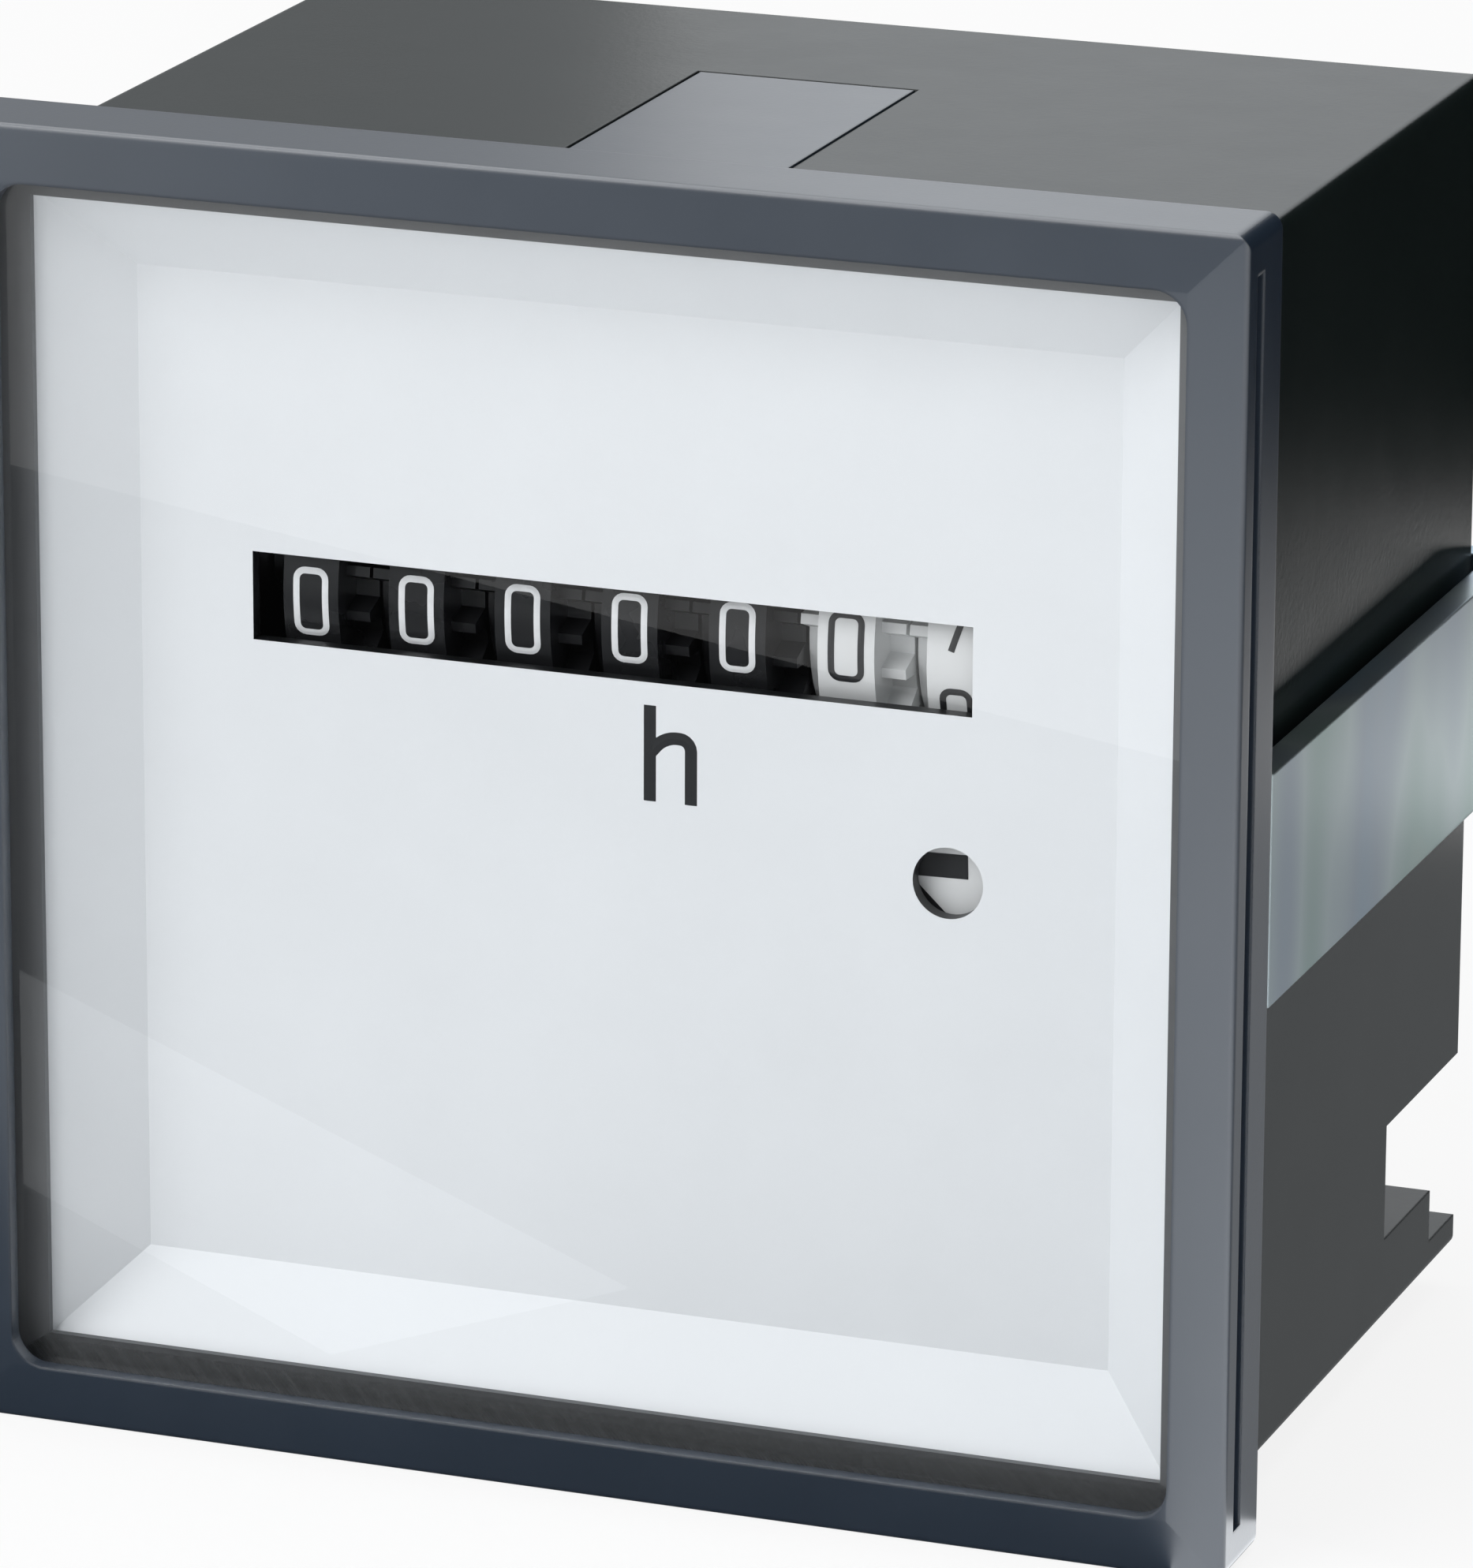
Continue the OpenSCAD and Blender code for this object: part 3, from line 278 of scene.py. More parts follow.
def new_finish(name, tone, roughness, metallic=0.0):
    """A material whose colour and shine are set on its own shader."""
    material = bpy.data.materials.new(name)
    material.use_nodes = True
    material.diffuse_color = (*tone, 1.0)
    shader = material.node_tree.nodes["Principled BSDF"]
    shader.inputs["Base Color"].default_value = (*tone, 1.0)
    shader.inputs["Roughness"].default_value = roughness
    shader.inputs["Metallic"].default_value = metallic
    return material, material.node_tree, shader


def clouds(tree, size, detail=2.0, stretch=EVEN):
    """A cloudy pattern on the piece, with clouds of that size in metres, stretched along an axis."""
    place = add(tree, "ShaderNodeTexCoord")
    mapping = add(tree, "ShaderNodeMapping", Scale=[1.0 / s for s in stretch])
    noise = add(tree, "ShaderNodeTexNoise", Scale=1.0 / size, Detail=detail)
    tree.links.new(place.outputs["Object"], mapping.inputs["Vector"])
    tree.links.new(mapping.outputs["Vector"], noise.inputs["Vector"])
    return noise.outputs["Fac"]


def tint(tree, shader, pattern, stops):
    """Colours the surface by a pattern, from a list of (place, colour)."""
    ramp = add(tree, "ShaderNodeValToRGB")
    while len(ramp.color_ramp.elements) < len(stops):
        ramp.color_ramp.elements.new(1.0)
    for element, (place, tone) in zip(ramp.color_ramp.elements, stops):
        element.position = place
        element.color = (*tone, 1.0)
    tree.links.new(pattern, ramp.inputs["Fac"])
    tree.links.new(ramp.outputs["Color"], shader.inputs["Base Color"])


def shades(tone, spread):
    """A darker and a lighter shade of a colour."""
    return [c * (1 - spread) for c in tone], [min(1.0, c * (1 + spread)) for c in tone]


def mottle(tree, shader, pattern, tone, spread):
    """Colours the surface with a darker and a lighter shade of a colour, by a cloud pattern."""
    dark, light = shades(tone, spread)
    tint(tree, shader, pattern, [(CLOUD_LOW, dark), (CLOUD_HIGH, light)])


def shine(tree, shader, pattern, low, high):
    """Varies the roughness by a cloud pattern."""
    limits = {"From Min": CLOUD_LOW, "From Max": CLOUD_HIGH, "To Min": low, "To Max": high}
    spread = add(tree, "ShaderNodeMapRange", **limits)
    tree.links.new(pattern, spread.inputs["Value"])
    tree.links.new(spread.outputs["Result"], shader.inputs["Roughness"])


def relief(tree, shader, pattern, depth, edge_r=0.0):
    """Raises a pattern by that depth, and rounds the sharp edges that light catches by a radius."""
    bump = add(tree, "ShaderNodeBump", Strength=1.0, Distance=depth)
    tree.links.new(pattern, bump.inputs["Height"])
    tree.links.new(bump.outputs["Normal"], shader.inputs["Normal"])
    if edge_r > 0.0:
        edge = add(tree, "ShaderNodeBevel", Radius=edge_r)
        tree.links.new(edge.outputs["Normal"], bump.inputs["Normal"])


def moulded(name, tone, roughness, grain=0.16 * MM, depth=0.003 * MM, spread=0.04, edge_r=0.0):
    """Moulded plastic with faint clouds of colour and a fine grain."""
    colour_cloud = 6 * MM
    shine_cloud = 3 * MM
    uneven = 0.015
    material, tree, shader = new_finish(name, tone, roughness)
    mottle(tree, shader, clouds(tree, colour_cloud), tone, spread)
    shine(tree, shader, clouds(tree, shine_cloud, detail=3.0), roughness - uneven, roughness + uneven)
    relief(tree, shader, clouds(tree, grain, detail=3.0), depth, edge_r)
    return material


def dial_with_edge_shade(name, tone, back, face_y):
    """White plastic in front of the dial's face and a dark colour behind it, which the cut edges of the holes
    show: painted shade in the holes.
    """
    skin = 0.02 * MM
    material = moulded(name, tone, roughness=0.34, grain=0.3 * MM, depth=0.001 * MM, spread=0.01)
    tree = material.node_tree
    shader = tree.nodes["Principled BSDF"]
    white = shader.inputs["Base Color"].links[0].from_socket
    place = add(tree, "ShaderNodeTexCoord")
    axes = add(tree, "ShaderNodeSeparateXYZ")
    tree.links.new(place.outputs["Object"], axes.inputs["Vector"])
    # Everything behind the face is dark: painted shade on the cut edges of the dial's holes.
    behind = add_math(tree, "GREATER_THAN", axes.outputs["Y"])
    behind.inputs[1].default_value = face_y + skin
    mix = add(tree, "ShaderNodeMixRGB", Color2=(*back, 1.0))
    tree.links.new(behind.outputs["Value"], mix.inputs["Fac"])
    tree.links.new(white, mix.inputs["Color1"])
    tree.links.new(mix.outputs["Color"], shader.inputs["Base Color"])
    return material


def machined(name, tone, roughness, stretch=EVEN, depth=0.002 * MM, spread=0.08):
    """Metal with fine tool marks, drawn out along an axis."""
    colour_cloud = 4 * MM
    wide_mark = 0.4 * MM
    fine_mark = 0.12 * MM
    smoother, rougher = 0.06, 0.08
    material, tree, shader = new_finish(name, tone, roughness, metallic=1.0)
    mottle(tree, shader, clouds(tree, colour_cloud, detail=3.0), tone, spread)
    marks = clouds(tree, wide_mark, detail=3.0, stretch=stretch)
    shine(tree, shader, marks, roughness - smoother, roughness + rougher)
    relief(tree, shader, clouds(tree, fine_mark, stretch=stretch), depth)
    return material


def zinc_plate(name, tone, stretch=EVEN):
    """Bright zinc with the faint rainbow patches of its passivation and softly waved faces."""
    patch = 8 * MM
    wave = 1.5 * MM
    wave_depth = 0.0005 * MM
    edge_r = 0.12 * MM
    material, tree, shader = new_finish(name, tone, roughness=0.3, metallic=1.0)
    stops = [(place, [c * part for c, part in zip(tone, cast)]) for place, cast in PASSIVATION]
    tint(tree, shader, clouds(tree, patch, detail=0.8, stretch=stretch), stops)
    relief(tree, shader, clouds(tree, wave, detail=1.0), wave_depth, edge_r)
    return material


def clear_pane(name):
    """Clear polished plastic that lets the light through; faces turned to it also mirror a little."""
    acrylic_ior = 1.49
    faint_blue = (0.993, 0.997, 1.0, 1.0)
    material, tree, shader = new_finish(name, tone=(0.95, 0.97, 0.98), roughness=0.03)
    tree.nodes.remove(shader)
    through = add(tree, "ShaderNodeBsdfTransparent", Color=faint_blue)
    mirror = add(tree, "ShaderNodeBsdfAnisotropic", Roughness=0.0)
    fresnel = add(tree, "ShaderNodeFresnel", IOR=acrylic_ior)
    side = add(tree, "ShaderNodeNewGeometry")
    turned_to = add(tree, "ShaderNodeMix", B=0.0)
    tree.links.new(side.outputs["Backfacing"], turned_to.inputs["Factor"])
    tree.links.new(fresnel.outputs["Fac"], turned_to.inputs["A"])
    show(tree, blend(tree, turned_to.outputs["Result"], through.outputs["BSDF"], mirror.outputs["BSDF"]))
    return material


def wound_wire(name, tone):
    """Turns of enamelled wire, side by side along the coil, with painted shade in the grooves between the
    turns and a painted highlight on their crowns.
    """
    three_turns = 2.2 * MM
    wire_depth = 0.03 * MM
    groove_shade, crown_highlight = 0.1, 0.8
    material, tree, shader = new_finish(name, tone, roughness=0.3, metallic=1.0)
    place = add(tree, "ShaderNodeTexCoord")
    turns = add(tree, "ShaderNodeTexWave", Scale=1.0 / three_turns, Distortion=0.4)
    turns.bands_direction = "Y"
    tree.links.new(place.outputs["Object"], turns.inputs["Vector"])
    # Darker in the grooves and lighter on the crowns: painted shade and painted highlight.
    dark, light = shades(tone, 0.35)
    tint(tree, shader, turns.outputs["Fac"], [(groove_shade, dark), (crown_highlight, light)])
    relief(tree, shader, turns.outputs["Fac"], wire_depth)
    return material


def print_ink(name, tone):
    """Printed ink with a faintly uneven film."""
    colour_cloud = 0.5 * MM
    film_grain = 0.08 * MM
    film_depth = 0.001 * MM
    material, tree, shader = new_finish(name, tone, roughness=0.45)
    mottle(tree, shader, clouds(tree, colour_cloud), tone, spread=0.05)
    relief(tree, shader, clouds(tree, film_grain), film_depth)
    return material


def dress(material, *nodes):
    """Gives CAD nodes a finish."""
    for name in nodes:
        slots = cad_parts[name].data.materials
        slots.clear()
        slots.append(material)


def new_mesh(name, bm):
    """Makes a mesh from a bmesh, which is freed."""
    mesh = bpy.data.meshes.new(name)
    bm.to_mesh(mesh)
    bm.free()
    return mesh


def new_object(name, mesh):
    """Links a mesh as an object at the origin."""
    piece = bpy.data.objects.new(name, mesh)
    bpy.context.scene.collection.objects.link(piece)
    return piece


def new_piece(name, bm, material, body):
    """Makes a piece of the part from a bmesh and lets it ride on a body."""
    mesh = new_mesh(name, bm)
    mesh.materials.append(material)
    piece = new_object(name, mesh)
    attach(piece, body)
    return piece


def convert_to(piece, kind):
    """Converts an object to a curve or a mesh with Blender's own operator."""
    bpy.ops.object.select_all(action="DESELECT")
    bpy.context.view_layer.objects.active = piece
    piece.select_set(True)
    bpy.ops.object.convert(target=kind)


def stroke_mesh(strokes, width, height, stroke_w, corner_r, ink_t):
    """A flat ribbon along the strokes of one figure, which lies in the XY plane round the origin."""
    corner_steps = 5
    line_cuts = 5
    bm = bmesh.new()
    corners = []
    for closed, points in strokes:
        verts = [bm.verts.new((u * width / 2, v * height / 2, 0.0)) for u, v in points]
        for first, second in zip(verts, verts[1:] + verts[:1] if closed else verts[1:]):
            bm.edges.new((first, second))
        corners += verts if closed else verts[1:-1]
    bmesh.ops.bevel(
        bm, geom=corners, offset=corner_r, segments=corner_steps, profile=0.5, affect="VERTICES", material=-1
    )
    long_edges = [edge for edge in bm.edges if edge.calc_length() > corner_r]
    bmesh.ops.subdivide_edges(bm, edges=long_edges, cuts=line_cuts)
    piece = new_object("strokes", new_mesh("strokes", bm))
    convert_to(piece, "CURVE")
    piece.data.dimensions = "2D"
    piece.data.fill_mode = "NONE"
    piece.data.bevel_resolution = 0
    piece.data.bevel_depth = stroke_w / 2
    piece.data.use_fill_caps = True
    convert_to(piece, "MESH")
    mesh = piece.data
    mesh.transform(Matrix.Diagonal((1.0, 1.0, 2 * ink_t / stroke_w, 1.0)))
    bpy.data.objects.remove(piece)
    return mesh


def counter_axis():
    """The counter shaft's place (Y, Z) and the number wheels' radius, from the frame."""
    low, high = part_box(BLACK_WHEELS[0])
    return (low.y + high.y) / 2, (low.z + high.z) / 2, (high.y - low.y) / 2


def band_middle(wheel):
    """The X of the middle of a wheel's printed band, where the mesh reaches its full radius."""
    axis_y, axis_z, wheel_r = counter_axis()
    near_rim = 0.98 * wheel_r
    rim = [
        vert.co.x
        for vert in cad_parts[wheel].data.vertices
        if math.hypot(vert.co.y - axis_y, vert.co.z - axis_z) > near_rim
    ]
    return (min(rim) + max(rim)) / 2


def dial_depth():
    """The depth of the dial's face, found by a ray from the front below the counter window."""
    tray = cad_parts["dial_tray"]
    low, _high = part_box("dial_tray")
    start = Vector((0.0, low.y - MM, low.z / 2))
    hit, place, _normal, _face = tray.ray_cast(start, Vector((0.0, 1.0, 0.0)))
    if not hit:
        raise RuntimeError("the dial's face wasn't found")
    return place.y


class HOURMETER_OT_case(bpy.types.Operator):
    """Finishes the front frame, the housing, the dial, the seal and the lens"""

    bl_idname = "hour_meter.case"
    bl_label = "Case finishes"

    def execute(self, context):
        tones = context.scene.hour_meter.finish
        frame_plastic = moulded("frame_plastic", tones.frame_grey, roughness=0.33, edge_r=0.18 * MM)
        gloss = frame_plastic.node_tree.nodes["Principled BSDF"].inputs
        gloss["Specular IOR Level"].default_value = 1.0
        gloss["Coat Weight"].default_value = 1.0
        gloss["Coat Roughness"].default_value = 0.25
        housing_plastic = moulded(
            "housing_plastic", tones.housing_black, roughness=0.22, grain=0.2 * MM, edge_r=0.12 * MM
        )
        # The seal ring carries painted shade: its grey is darkened to stand in for the shade inside the
        # bezel's opening.
        seal_rubber = moulded(
            "seal_rubber", tones.seal_shade_grey, roughness=0.6, grain=0.3 * MM, depth=0.0004 * MM
        )
        dress(frame_plastic, "bezel")
        dress(housing_plastic, "housing")
        dress(dial_with_edge_shade("dial_plastic", tones.dial_white, tones.dial_edge_shade, dial_depth()), "dial_tray")
        dress(seal_rubber, "seal_ring")
        dress(clear_pane("clear_lens"), "lens")
        return {"FINISHED"}


class HOURMETER_OT_clamp(bpy.types.Operator):
    """Finishes the clamp strap and the terminals"""

    bl_idname = "hour_meter.clamp"
    bl_label = "Clamp and terminal finishes"

    def execute(self, context):
        tones = context.scene.hour_meter.finish
        upright, along_tab = (1.0, 1.0, 4.0), (1.0, 14.0, 1.0)
        tinned_tab = machined("tinned_tab", tones.tin, roughness=0.3, stretch=along_tab)
        dress(zinc_plate("zinc_strap", tones.zinc, upright), "clamp_bracket")
        dress(tinned_tab, "terminal_left", "terminal_right")
        return {"FINISHED"}


class HOURMETER_OT_clamp_screw(bpy.types.Operator):
    """Models the clamp screw with its thread and its slotted head"""

    bl_idname = "hour_meter.clamp_screw"
    bl_label = "Clamp screw"

    def execute(self, context):
        sizes = context.scene.hour_meter.screw
        low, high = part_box("clamp_screw")
        head_r = (high.x - low.x) / 2
        head_y = high.y - sizes.head_h
        shank_y = low.y + sizes.tip_len
        edge = sizes.edge
        outline = [
            (0.0, low.y),
            (sizes.tip_r - edge, low.y),
            (sizes.tip_r, low.y + edge),
            (sizes.tip_r, shank_y),
            (sizes.root_r, shank_y),
            (sizes.root_r, head_y),
            (head_r - edge, head_y),
            (head_r, head_y + edge),
            (head_r, high.y - 2 * edge),
            (head_r - 2 * edge, high.y),
            (0.0, high.y),
        ]
        body = self.turned(outline)
        self.cut_slot(body, sizes, head_r, high.y)
        bm = bmesh.new()
        bm.from_mesh(body.data)
        bpy.data.objects.remove(body)
        self.add_thread(bm, sizes, shank_y, head_y)
        material = zinc_plate("zinc_screw", context.scene.hour_meter.finish.zinc)
        screw = new_piece("threaded_clamp_screw", bm, material, "clamp_screw")
        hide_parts("clamp_screw")
        return {"FINISHED"}

    def turned(self, outline):
        """The screw without its thread, spun round the Y axis."""
        bm = bmesh.new()
        verts = [bm.verts.new((r, y, 0.0)) for r, y in outline]
        edges = [bm.edges.new(pair) for pair in zip(verts, verts[1:])]
        bmesh.ops.spin(
            bm,
            geom=verts + edges,
            axis=(0, 1, 0),
            cent=(0, 0, 0),
            angle=math.tau,
            steps=64,
            use_merge=True,
        )
        bmesh.ops.remove_doubles(bm, verts=bm.verts, dist=WELD)
        bmesh.ops.recalc_face_normals(bm, faces=bm.faces)
        return new_object("screw_body", new_mesh("screw_body", bm))

    def cut_slot(self, body, sizes, head_r, top_y):
        """Cuts the driver slot across the head with a bar that reaches past its sides and its top."""
        bar = (3 * head_r, 2 * sizes.slot_depth, sizes.slot_w)
        bm = bmesh.new()
        bmesh.ops.create_cube(bm, size=1.0)
        bmesh.ops.scale(bm, verts=bm.verts, vec=bar)
        bmesh.ops.translate(bm, verts=bm.verts, vec=(0.0, top_y, 0.0))
        cutter = new_object("slot_cutter", new_mesh("slot_cutter", bm))
        slot = body.modifiers.new("slot", "BOOLEAN")
        slot.operation = "DIFFERENCE"
        slot.object = cutter
        convert_to(body, "MESH")
        bpy.data.objects.remove(cutter)

    def add_thread(self, bm, sizes, from_y, to_y):
        """Winds one thread ridge along the shank."""
        steps_a_turn = 24
        sunk = 0.1 * MM
        flank = 0.42 * sizes.pitch
        crest = 0.06 * sizes.pitch
        turns = (to_y - from_y) / sizes.pitch - 1
        steps = round(turns * steps_a_turn)
        section = [
            (sizes.root_r - sunk, -flank),
            (sizes.thread_r, -crest),
            (sizes.thread_r, crest),
            (sizes.root_r - sunk, flank),
        ]
        start_y = from_y + sizes.pitch / 2
        verts = [bm.verts.new((r, start_y + y, 0.0)) for r, y in section]
        ridge = bm.faces.new(verts)
        bmesh.ops.spin(
            bm,
            geom=[ridge, *ridge.verts, *ridge.edges],
            axis=(0, 1, 0),
            cent=(0, 0, 0),
            dvec=(0.0, (to_y - from_y - sizes.pitch) / steps, 0.0),
            angle=math.tau * turns,
            steps=steps,
        )
        bmesh.ops.recalc_face_normals(bm, faces=bm.faces)


class HOURMETER_OT_movement(bpy.types.Operator):
    """Finishes the counter, the gear train and the motor"""

    bl_idname = "hour_meter.movement"
    bl_label = "Movement finishes"

    def execute(self, context):
        tones = context.scene.hour_meter.finish
        self.finish_counter(tones)
        self.finish_train(tones)
        self.finish_motor(tones)
        return {"FINISHED"}

    def finish_counter(self, tones):
        """Number wheels, carry pinions, indicator disc, and the shafts of the counter."""
        across = (14.0, 1.0, 1.0)
        smooth = {"grain": 0.2 * MM, "depth": 0.002 * MM}
        matt = {"grain": 0.2 * MM, "depth": 0.003 * MM}
        black = moulded("black_wheels", tones.wheel_black, roughness=0.28, **smooth)
        white = moulded("white_wheels", tones.wheel_white, roughness=0.40, spread=0.02, **matt)
        acetal = moulded("natural_acetal", tones.acetal, roughness=0.35, **smooth)
        disc = moulded("indicator_white", tones.wheel_white, roughness=0.42, spread=0.02, **smooth)
        drawn = machined("drawn_steel", tones.steel, roughness=0.24, stretch=across)
        blued = machined("blued_clip", tones.ferrite, roughness=0.3)
        pinions = [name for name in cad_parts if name.startswith("transfer_pinion")]
        dress(black, *BLACK_WHEELS)
        dress(white, *WHITE_WHEELS)
        dress(acetal, "bobbin", *pinions)
        dress(disc, "indicator_disc")
        dress(drawn, "register_shaft", "pinion_shaft")
        dress(blued, "shaft_clips")

    def finish_train(self, tones):
        """Plates, arbors, wheels and small fixings of the gear train."""
        across, deep = (14.0, 1.0, 1.0), (1.0, 14.0, 1.0)
        rolled = machined("rolled_plate", tones.steel, roughness=0.34, stretch=across)
        ground = machined("ground_steel", tones.steel, roughness=0.24, stretch=deep)
        brass = machined("turned_brass", tones.brass, roughness=0.26)
        arbors = ("first_arbor", "second_arbor", "third_arbor", "fourth_arbor", "rotor_shaft")
        wheels = ("first_wheel", "second_wheel", "third_wheel", "fourth_wheel")
        dress(rolled, "movement_frame", "rear_plate")
        dress(ground, *arbors, "movement_screws", "motor_rivets")
        dress(brass, *wheels, "plate_pillars", "rotor_bushes")

    def finish_motor(self, tones):
        """Stator, rotor, coil and leads."""
        coarse = {"grain": 0.1 * MM, "depth": 0.01 * MM}
        smooth = {"grain": 0.3 * MM, "depth": 0.002 * MM}
        pressed = machined("pressed_steel", tones.steel, roughness=0.38)
        hub = moulded("rotor_hub_plastic", tones.hub_green, roughness=0.4)
        magnet = moulded("sintered_ferrite", tones.ferrite, roughness=0.55, spread=0.2, **coarse)
        insulation = moulded("lead_insulation", tones.lead_blue, roughness=0.45, **smooth)
        dress(pressed, "stator_front", "stator_rear", "motor_cap")
        dress(hub, "rotor_hub")
        dress(magnet, "rotor_magnet")
        dress(wound_wire("copper_winding", tones.copper), "winding")
        dress(insulation, "lead_left", "lead_right")


class HOURMETER_OT_figures(bpy.types.Operator):
    """Prints the figures 0 to 9 round each number wheel"""

    bl_idname = "hour_meter.figures"
    bl_label = "Counter figures"

    def execute(self, context):
        sizes = context.scene.hour_meter.counter
        outline = (sizes.figure_w, sizes.figure_h, sizes.stroke_w, sizes.corner_r, sizes.ink_t)
        shapes = [stroke_mesh(strokes, *outline) for strokes in FIGURES.values()]
        white = print_ink("white_ink", sizes.white_ink)
        black = print_ink("black_ink", sizes.black_ink)
        level_row = 3  # this wheel stands level, the ones before it hang and the ones after it stand high
        for row, wheel in enumerate(BLACK_WHEELS + WHITE_WHEELS):
            ink, slot = (white, "black_wheel") if wheel in BLACK_WHEELS else (black, "white_wheel")
            hang = sizes.play * (1.0 - row / level_row)
            reading = sizes.last_reading if wheel == WHITE_WHEELS[-1] else -hang
            bm = bmesh.new()
            for value, shape in enumerate(shapes):
                self.wrap(bm, shape, band_middle(wheel), value - reading, sizes.ink_t)
            new_piece(wheel.replace("wheel", "figures"), bm, ink, wheel)
        for shape in shapes:
            bpy.data.meshes.remove(shape)
        return {"FINISHED"}

    def wrap(self, bm, shape, middle_x, place, ink_t):
        """Lays a flat figure round a wheel, that many figures below the front."""
        axis_y, axis_z, wheel_r = counter_axis()
        step = math.tau / len(FIGURES)
        known = set(bm.verts)
        bm.from_mesh(shape)
        for vert in [vert for vert in bm.verts if vert not in known]:
            across, up, out = vert.co
            angle = up / wheel_r - place * step
            r = wheel_r + ink_t + out
            vert.co = (middle_x + across, axis_y - r * math.cos(angle), axis_z + r * math.sin(angle))
        bmesh.ops.recalc_face_normals(bm, faces=bm.faces)


class HOURMETER_OT_dial_print(bpy.types.Operator):
    """Prints the hour letter on the dial"""

    bl_idname = "hour_meter.dial_print"
    bl_label = "Dial print"

    def execute(self, context):
        sizes = context.scene.hour_meter.dial
        ink_t = context.scene.hour_meter.counter.ink_t
        shape = stroke_mesh(
            HOUR_LETTER, sizes.letter_w, sizes.letter_h, sizes.letter_stroke, sizes.letter_r, ink_t
        )
        bm = bmesh.new()
        bm.from_mesh(shape)
        bpy.data.meshes.remove(shape)
        _axis_y, axis_z, _wheel_r = counter_axis()
        place = Vector((sizes.letter_x, dial_depth(), axis_z - sizes.letter_drop))
        upright = Matrix.Rotation(math.pi / 2, 4, "X")
        bmesh.ops.transform(bm, matrix=Matrix.Translation(place) @ upright, verts=bm.verts)
        new_piece("hour_letter", bm, print_ink("dial_ink", sizes.ink), "body")
        return {"FINISHED"}


class HOURMETER_OT_indicator(bpy.types.Operator):
    """Prints the dark bars on the running indicator's disc"""

    bl_idname = "hour_meter.indicator"
    bl_label = "Running indicator"

    def execute(self, context):
        sizes = context.scene.hour_meter.dial
        ink_t = context.scene.hour_meter.counter.ink_t
        low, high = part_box("indicator_disc")
        centre = Vector(((low.x + high.x) / 2, low.y, (low.z + high.z) / 2))
        bm = bmesh.new()
        for row in range(sizes.bars):
            corners = self.bar_corners(sizes, row)
            bm.faces.new([bm.verts.new(centre + corner) for corner in corners])
        bmesh.ops.remove_doubles(bm, verts=bm.verts, dist=WELD)
        bmesh.ops.recalc_face_normals(bm, faces=bm.faces)
        raised = bmesh.ops.extrude_face_region(bm, geom=bm.faces[:])
        lifted = [item for item in raised["geom"] if isinstance(item, bmesh.types.BMVert)]
        bmesh.ops.translate(bm, verts=lifted, vec=(0.0, -ink_t, 0.0))
        bmesh.ops.recalc_face_normals(bm, faces=bm.faces)
        ink = print_ink("indicator_ink", sizes.ink)
        new_piece("indicator_bars", bm, ink, "second_arbor")
        return {"FINISHED"}

    def bar_corners(self, sizes, row):
        """The corners of one bar round the disc's middle, which meets the next bars near its inner end."""
        step = math.tau / sizes.bars
        meet_r = sizes.bar_w / 2 / math.sin(step / 2)
        middle = sizes.first_bar + row * step
        along = Vector((math.cos(middle), 0.0, math.sin(middle)))
        aside = Vector((-math.sin(middle), 0.0, math.cos(middle)))
        root = along * math.cos(step / 2)
        spread = aside * math.sin(step / 2)
        return [
            along * sizes.bar_in,
            (root - spread) * sizes.bar_in,
            (root - spread) * meet_r,
            along * sizes.bar_out - aside * sizes.bar_w / 2,
            along * sizes.bar_out + aside * sizes.bar_w / 2,
            (root + spread) * meet_r,
            (root + spread) * sizes.bar_in,
        ]


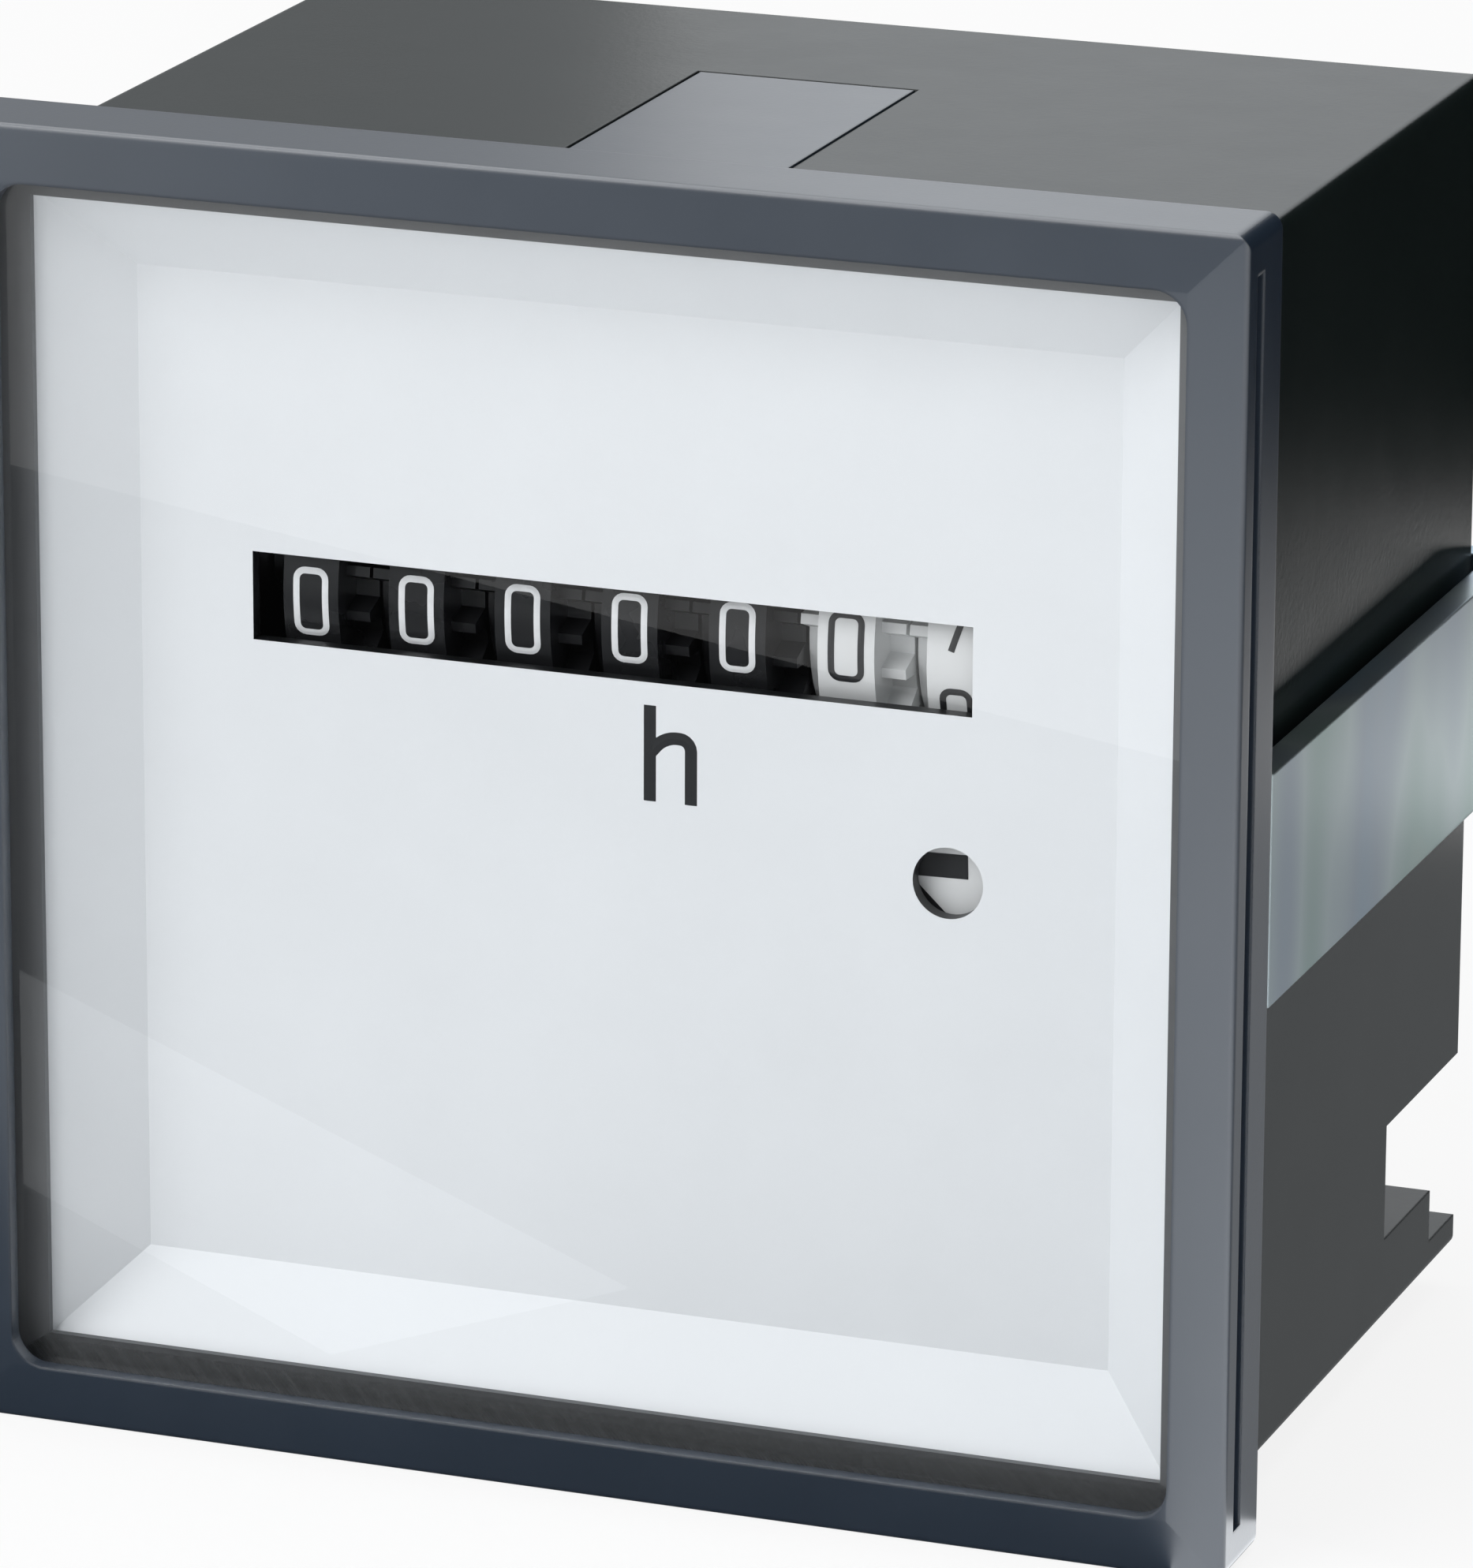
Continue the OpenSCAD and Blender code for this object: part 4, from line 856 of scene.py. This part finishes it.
class HOURMETER_OT_stage(bpy.types.Operator):
    """Sets up the floor, the light and the camera"""

    bl_idname = "hour_meter.stage"
    bl_label = "Stage"

    def execute(self, context):
        sizes = context.scene.hour_meter.stage
        context.scene.view_settings.view_transform = "Standard"
        self.make_world(context.scene, sizes)
        self.make_floor()
        for card in CARDS:
            self.make_card(*card)
        self.make_lamp("key_lamp", place_mm=(-260, -420, 330), size_mm=420, power=sizes.key)
        self.make_lamp("top_lamp", place_mm=(-40, 120, 520), size_mm=520, power=sizes.top)
        self.make_camera(context.scene, sizes)
        return {"FINISHED"}

    def make_world(self, scene, sizes):
        """White where the camera and mirrors look, and a plain level of light from all around."""
        world = bpy.data.worlds.new("studio")
        world.use_nodes = True
        tree = world.node_tree
        cool_white = (0.97, 0.985, 1.0, 1.0)
        light = tree.nodes["Background"]
        light.inputs["Color"].default_value = cool_white
        light.inputs["Strength"].default_value = sizes.ambient
        white = add(tree, "ShaderNodeBackground", Color=WHITE, Strength=1.0)
        sky = blend(tree, self.seen_by(tree), light.outputs["Background"], white.outputs["Background"])
        show(tree, sky, "World Output")
        scene.world = world

    def seen_by(self, tree):
        """One where a camera, glossy or transmission ray looks."""
        path = add(tree, "ShaderNodeLightPath")
        total = path.outputs["Is Camera Ray"]
        for ray in ("Is Glossy Ray", "Is Transmission Ray"):
            larger = add_math(tree, "MAXIMUM", total)
            tree.links.new(path.outputs[ray], larger.inputs[1])
            total = larger.outputs["Value"]
        return total

    def make_floor(self):
        """A pale floor that keeps a soft shadow."""
        half_m = 3.0
        glow = 0.86
        paper = (0.92, 0.92, 0.92)
        bm = bmesh.new()
        bmesh.ops.create_grid(bm, x_segments=1, y_segments=1, size=half_m)
        bmesh.ops.translate(bm, verts=bm.verts, vec=(0.0, 0.0, CAD_BOX[0].z))
        mesh = new_mesh("floor", bm)
        material, tree, shader = new_finish("floor_paper", paper, roughness=0.9)
        white = add(tree, "ShaderNodeEmission", Color=WHITE, Strength=1.0)
        part = add_math(tree, "MULTIPLY", self.seen_by(tree))
        part.inputs[1].default_value = glow
        show(tree, blend(tree, part.outputs["Value"], shader.outputs["BSDF"], white.outputs["Emission"]))
        mesh.materials.append(material)
        new_object("floor", mesh)

    def make_card(self, name, place_mm, size_mm, strength, turn):
        """A studio card that only mirrors see."""
        turned = Matrix.Rotation(math.radians(turn), 3, "Z")
        bm = bmesh.new()
        bmesh.ops.create_cube(bm, size=1.0)
        bmesh.ops.scale(bm, verts=bm.verts, vec=Vector(size_mm) * MM)
        bmesh.ops.rotate(bm, verts=bm.verts, cent=(0, 0, 0), matrix=turned)
        bmesh.ops.translate(bm, verts=bm.verts, vec=Vector(place_mm) * MM)
        mesh = new_mesh(name, bm)
        material, tree, shader = new_finish(name, (strength, strength, strength), roughness=1.0)
        tree.nodes.remove(shader)
        glow = add(tree, "ShaderNodeEmission", Color=CARD_TONE, Strength=strength)
        show(tree, glow.outputs["Emission"])
        mesh.materials.append(material)
        card = new_object(name, mesh)
        card.visible_camera = False
        card.visible_diffuse = False
        card.visible_shadow = False
        card.visible_transmission = False

    def make_lamp(self, name, place_mm, size_mm, power):
        """A large soft lamp that faces the object."""
        lamp = bpy.data.lights.new(name, "AREA")
        lamp.size = size_mm * MM
        lamp.energy = power
        holder = bpy.data.objects.new(name, lamp)
        bpy.context.scene.collection.objects.link(holder)
        holder.location = Vector(place_mm) * MM
        holder.rotation_euler = (-holder.location).to_track_quat("-Z", "Y").to_euler()

    def make_camera(self, scene, sizes):
        """The photo's viewpoint, in front, to the right and above."""
        camera = bpy.data.cameras.new("camera")
        camera.sensor_fit = "HORIZONTAL"
        camera.sensor_width = 36.0
        camera.lens = sizes.lens_mm
        camera.clip_start = 10 * MM
        holder = bpy.data.objects.new("camera", camera)
        scene.collection.objects.link(holder)
        level = math.cos(sizes.elevation)
        back = Vector((
            math.sin(sizes.azimuth) * level,
            -math.cos(sizes.azimuth) * level,
            math.sin(sizes.elevation),
        ))
        holder.location = Vector((sizes.target_x, 0.0, sizes.target_z)) + back * sizes.distance
        look = (-back).to_track_quat("-Z", "Y").to_matrix().to_4x4()
        holder.rotation_euler = (look @ Matrix.Rotation(sizes.roll, 4, "Z")).to_euler()
        scene.camera = holder


OPERATORS = (
    HOURMETER_OT_stage,
    HOURMETER_OT_case,
    HOURMETER_OT_clamp,
    HOURMETER_OT_clamp_screw,
    HOURMETER_OT_movement,
    HOURMETER_OT_figures,
    HOURMETER_OT_dial_print,
    HOURMETER_OT_indicator,
)


class HOURMETER_PT_panel(bpy.types.Panel):
    """Lists the steps that dress the hour meter"""

    bl_idname = "HOURMETER_PT_panel"
    bl_label = "Hour meter"
    bl_space_type = "VIEW_3D"
    bl_region_type = "UI"
    bl_category = "Hour meter"

    def draw(self, context):
        for step in OPERATORS:
            self.layout.operator(step.bl_idname)


GROUPS = (CounterSettings, DialSettings, FinishSettings, ScrewSettings, StageSettings, HourMeterSettings)
CLASSES = GROUPS + OPERATORS + (HOURMETER_PT_panel,)


def register():
    for cls in CLASSES:
        bpy.utils.register_class(cls)
    bpy.types.Scene.hour_meter = PointerProperty(type=HourMeterSettings)


def unregister():
    del bpy.types.Scene.hour_meter
    for cls in reversed(CLASSES):
        bpy.utils.unregister_class(cls)


def main():
    register()
    bpy.ops.hour_meter.stage()
    bpy.ops.hour_meter.case()
    bpy.ops.hour_meter.clamp()
    bpy.ops.hour_meter.clamp_screw()
    bpy.ops.hour_meter.movement()
    bpy.ops.hour_meter.figures()
    bpy.ops.hour_meter.dial_print()
    bpy.ops.hour_meter.indicator()
    bpy.context.view_layer.update()


if __name__ == "__main__":
    main()
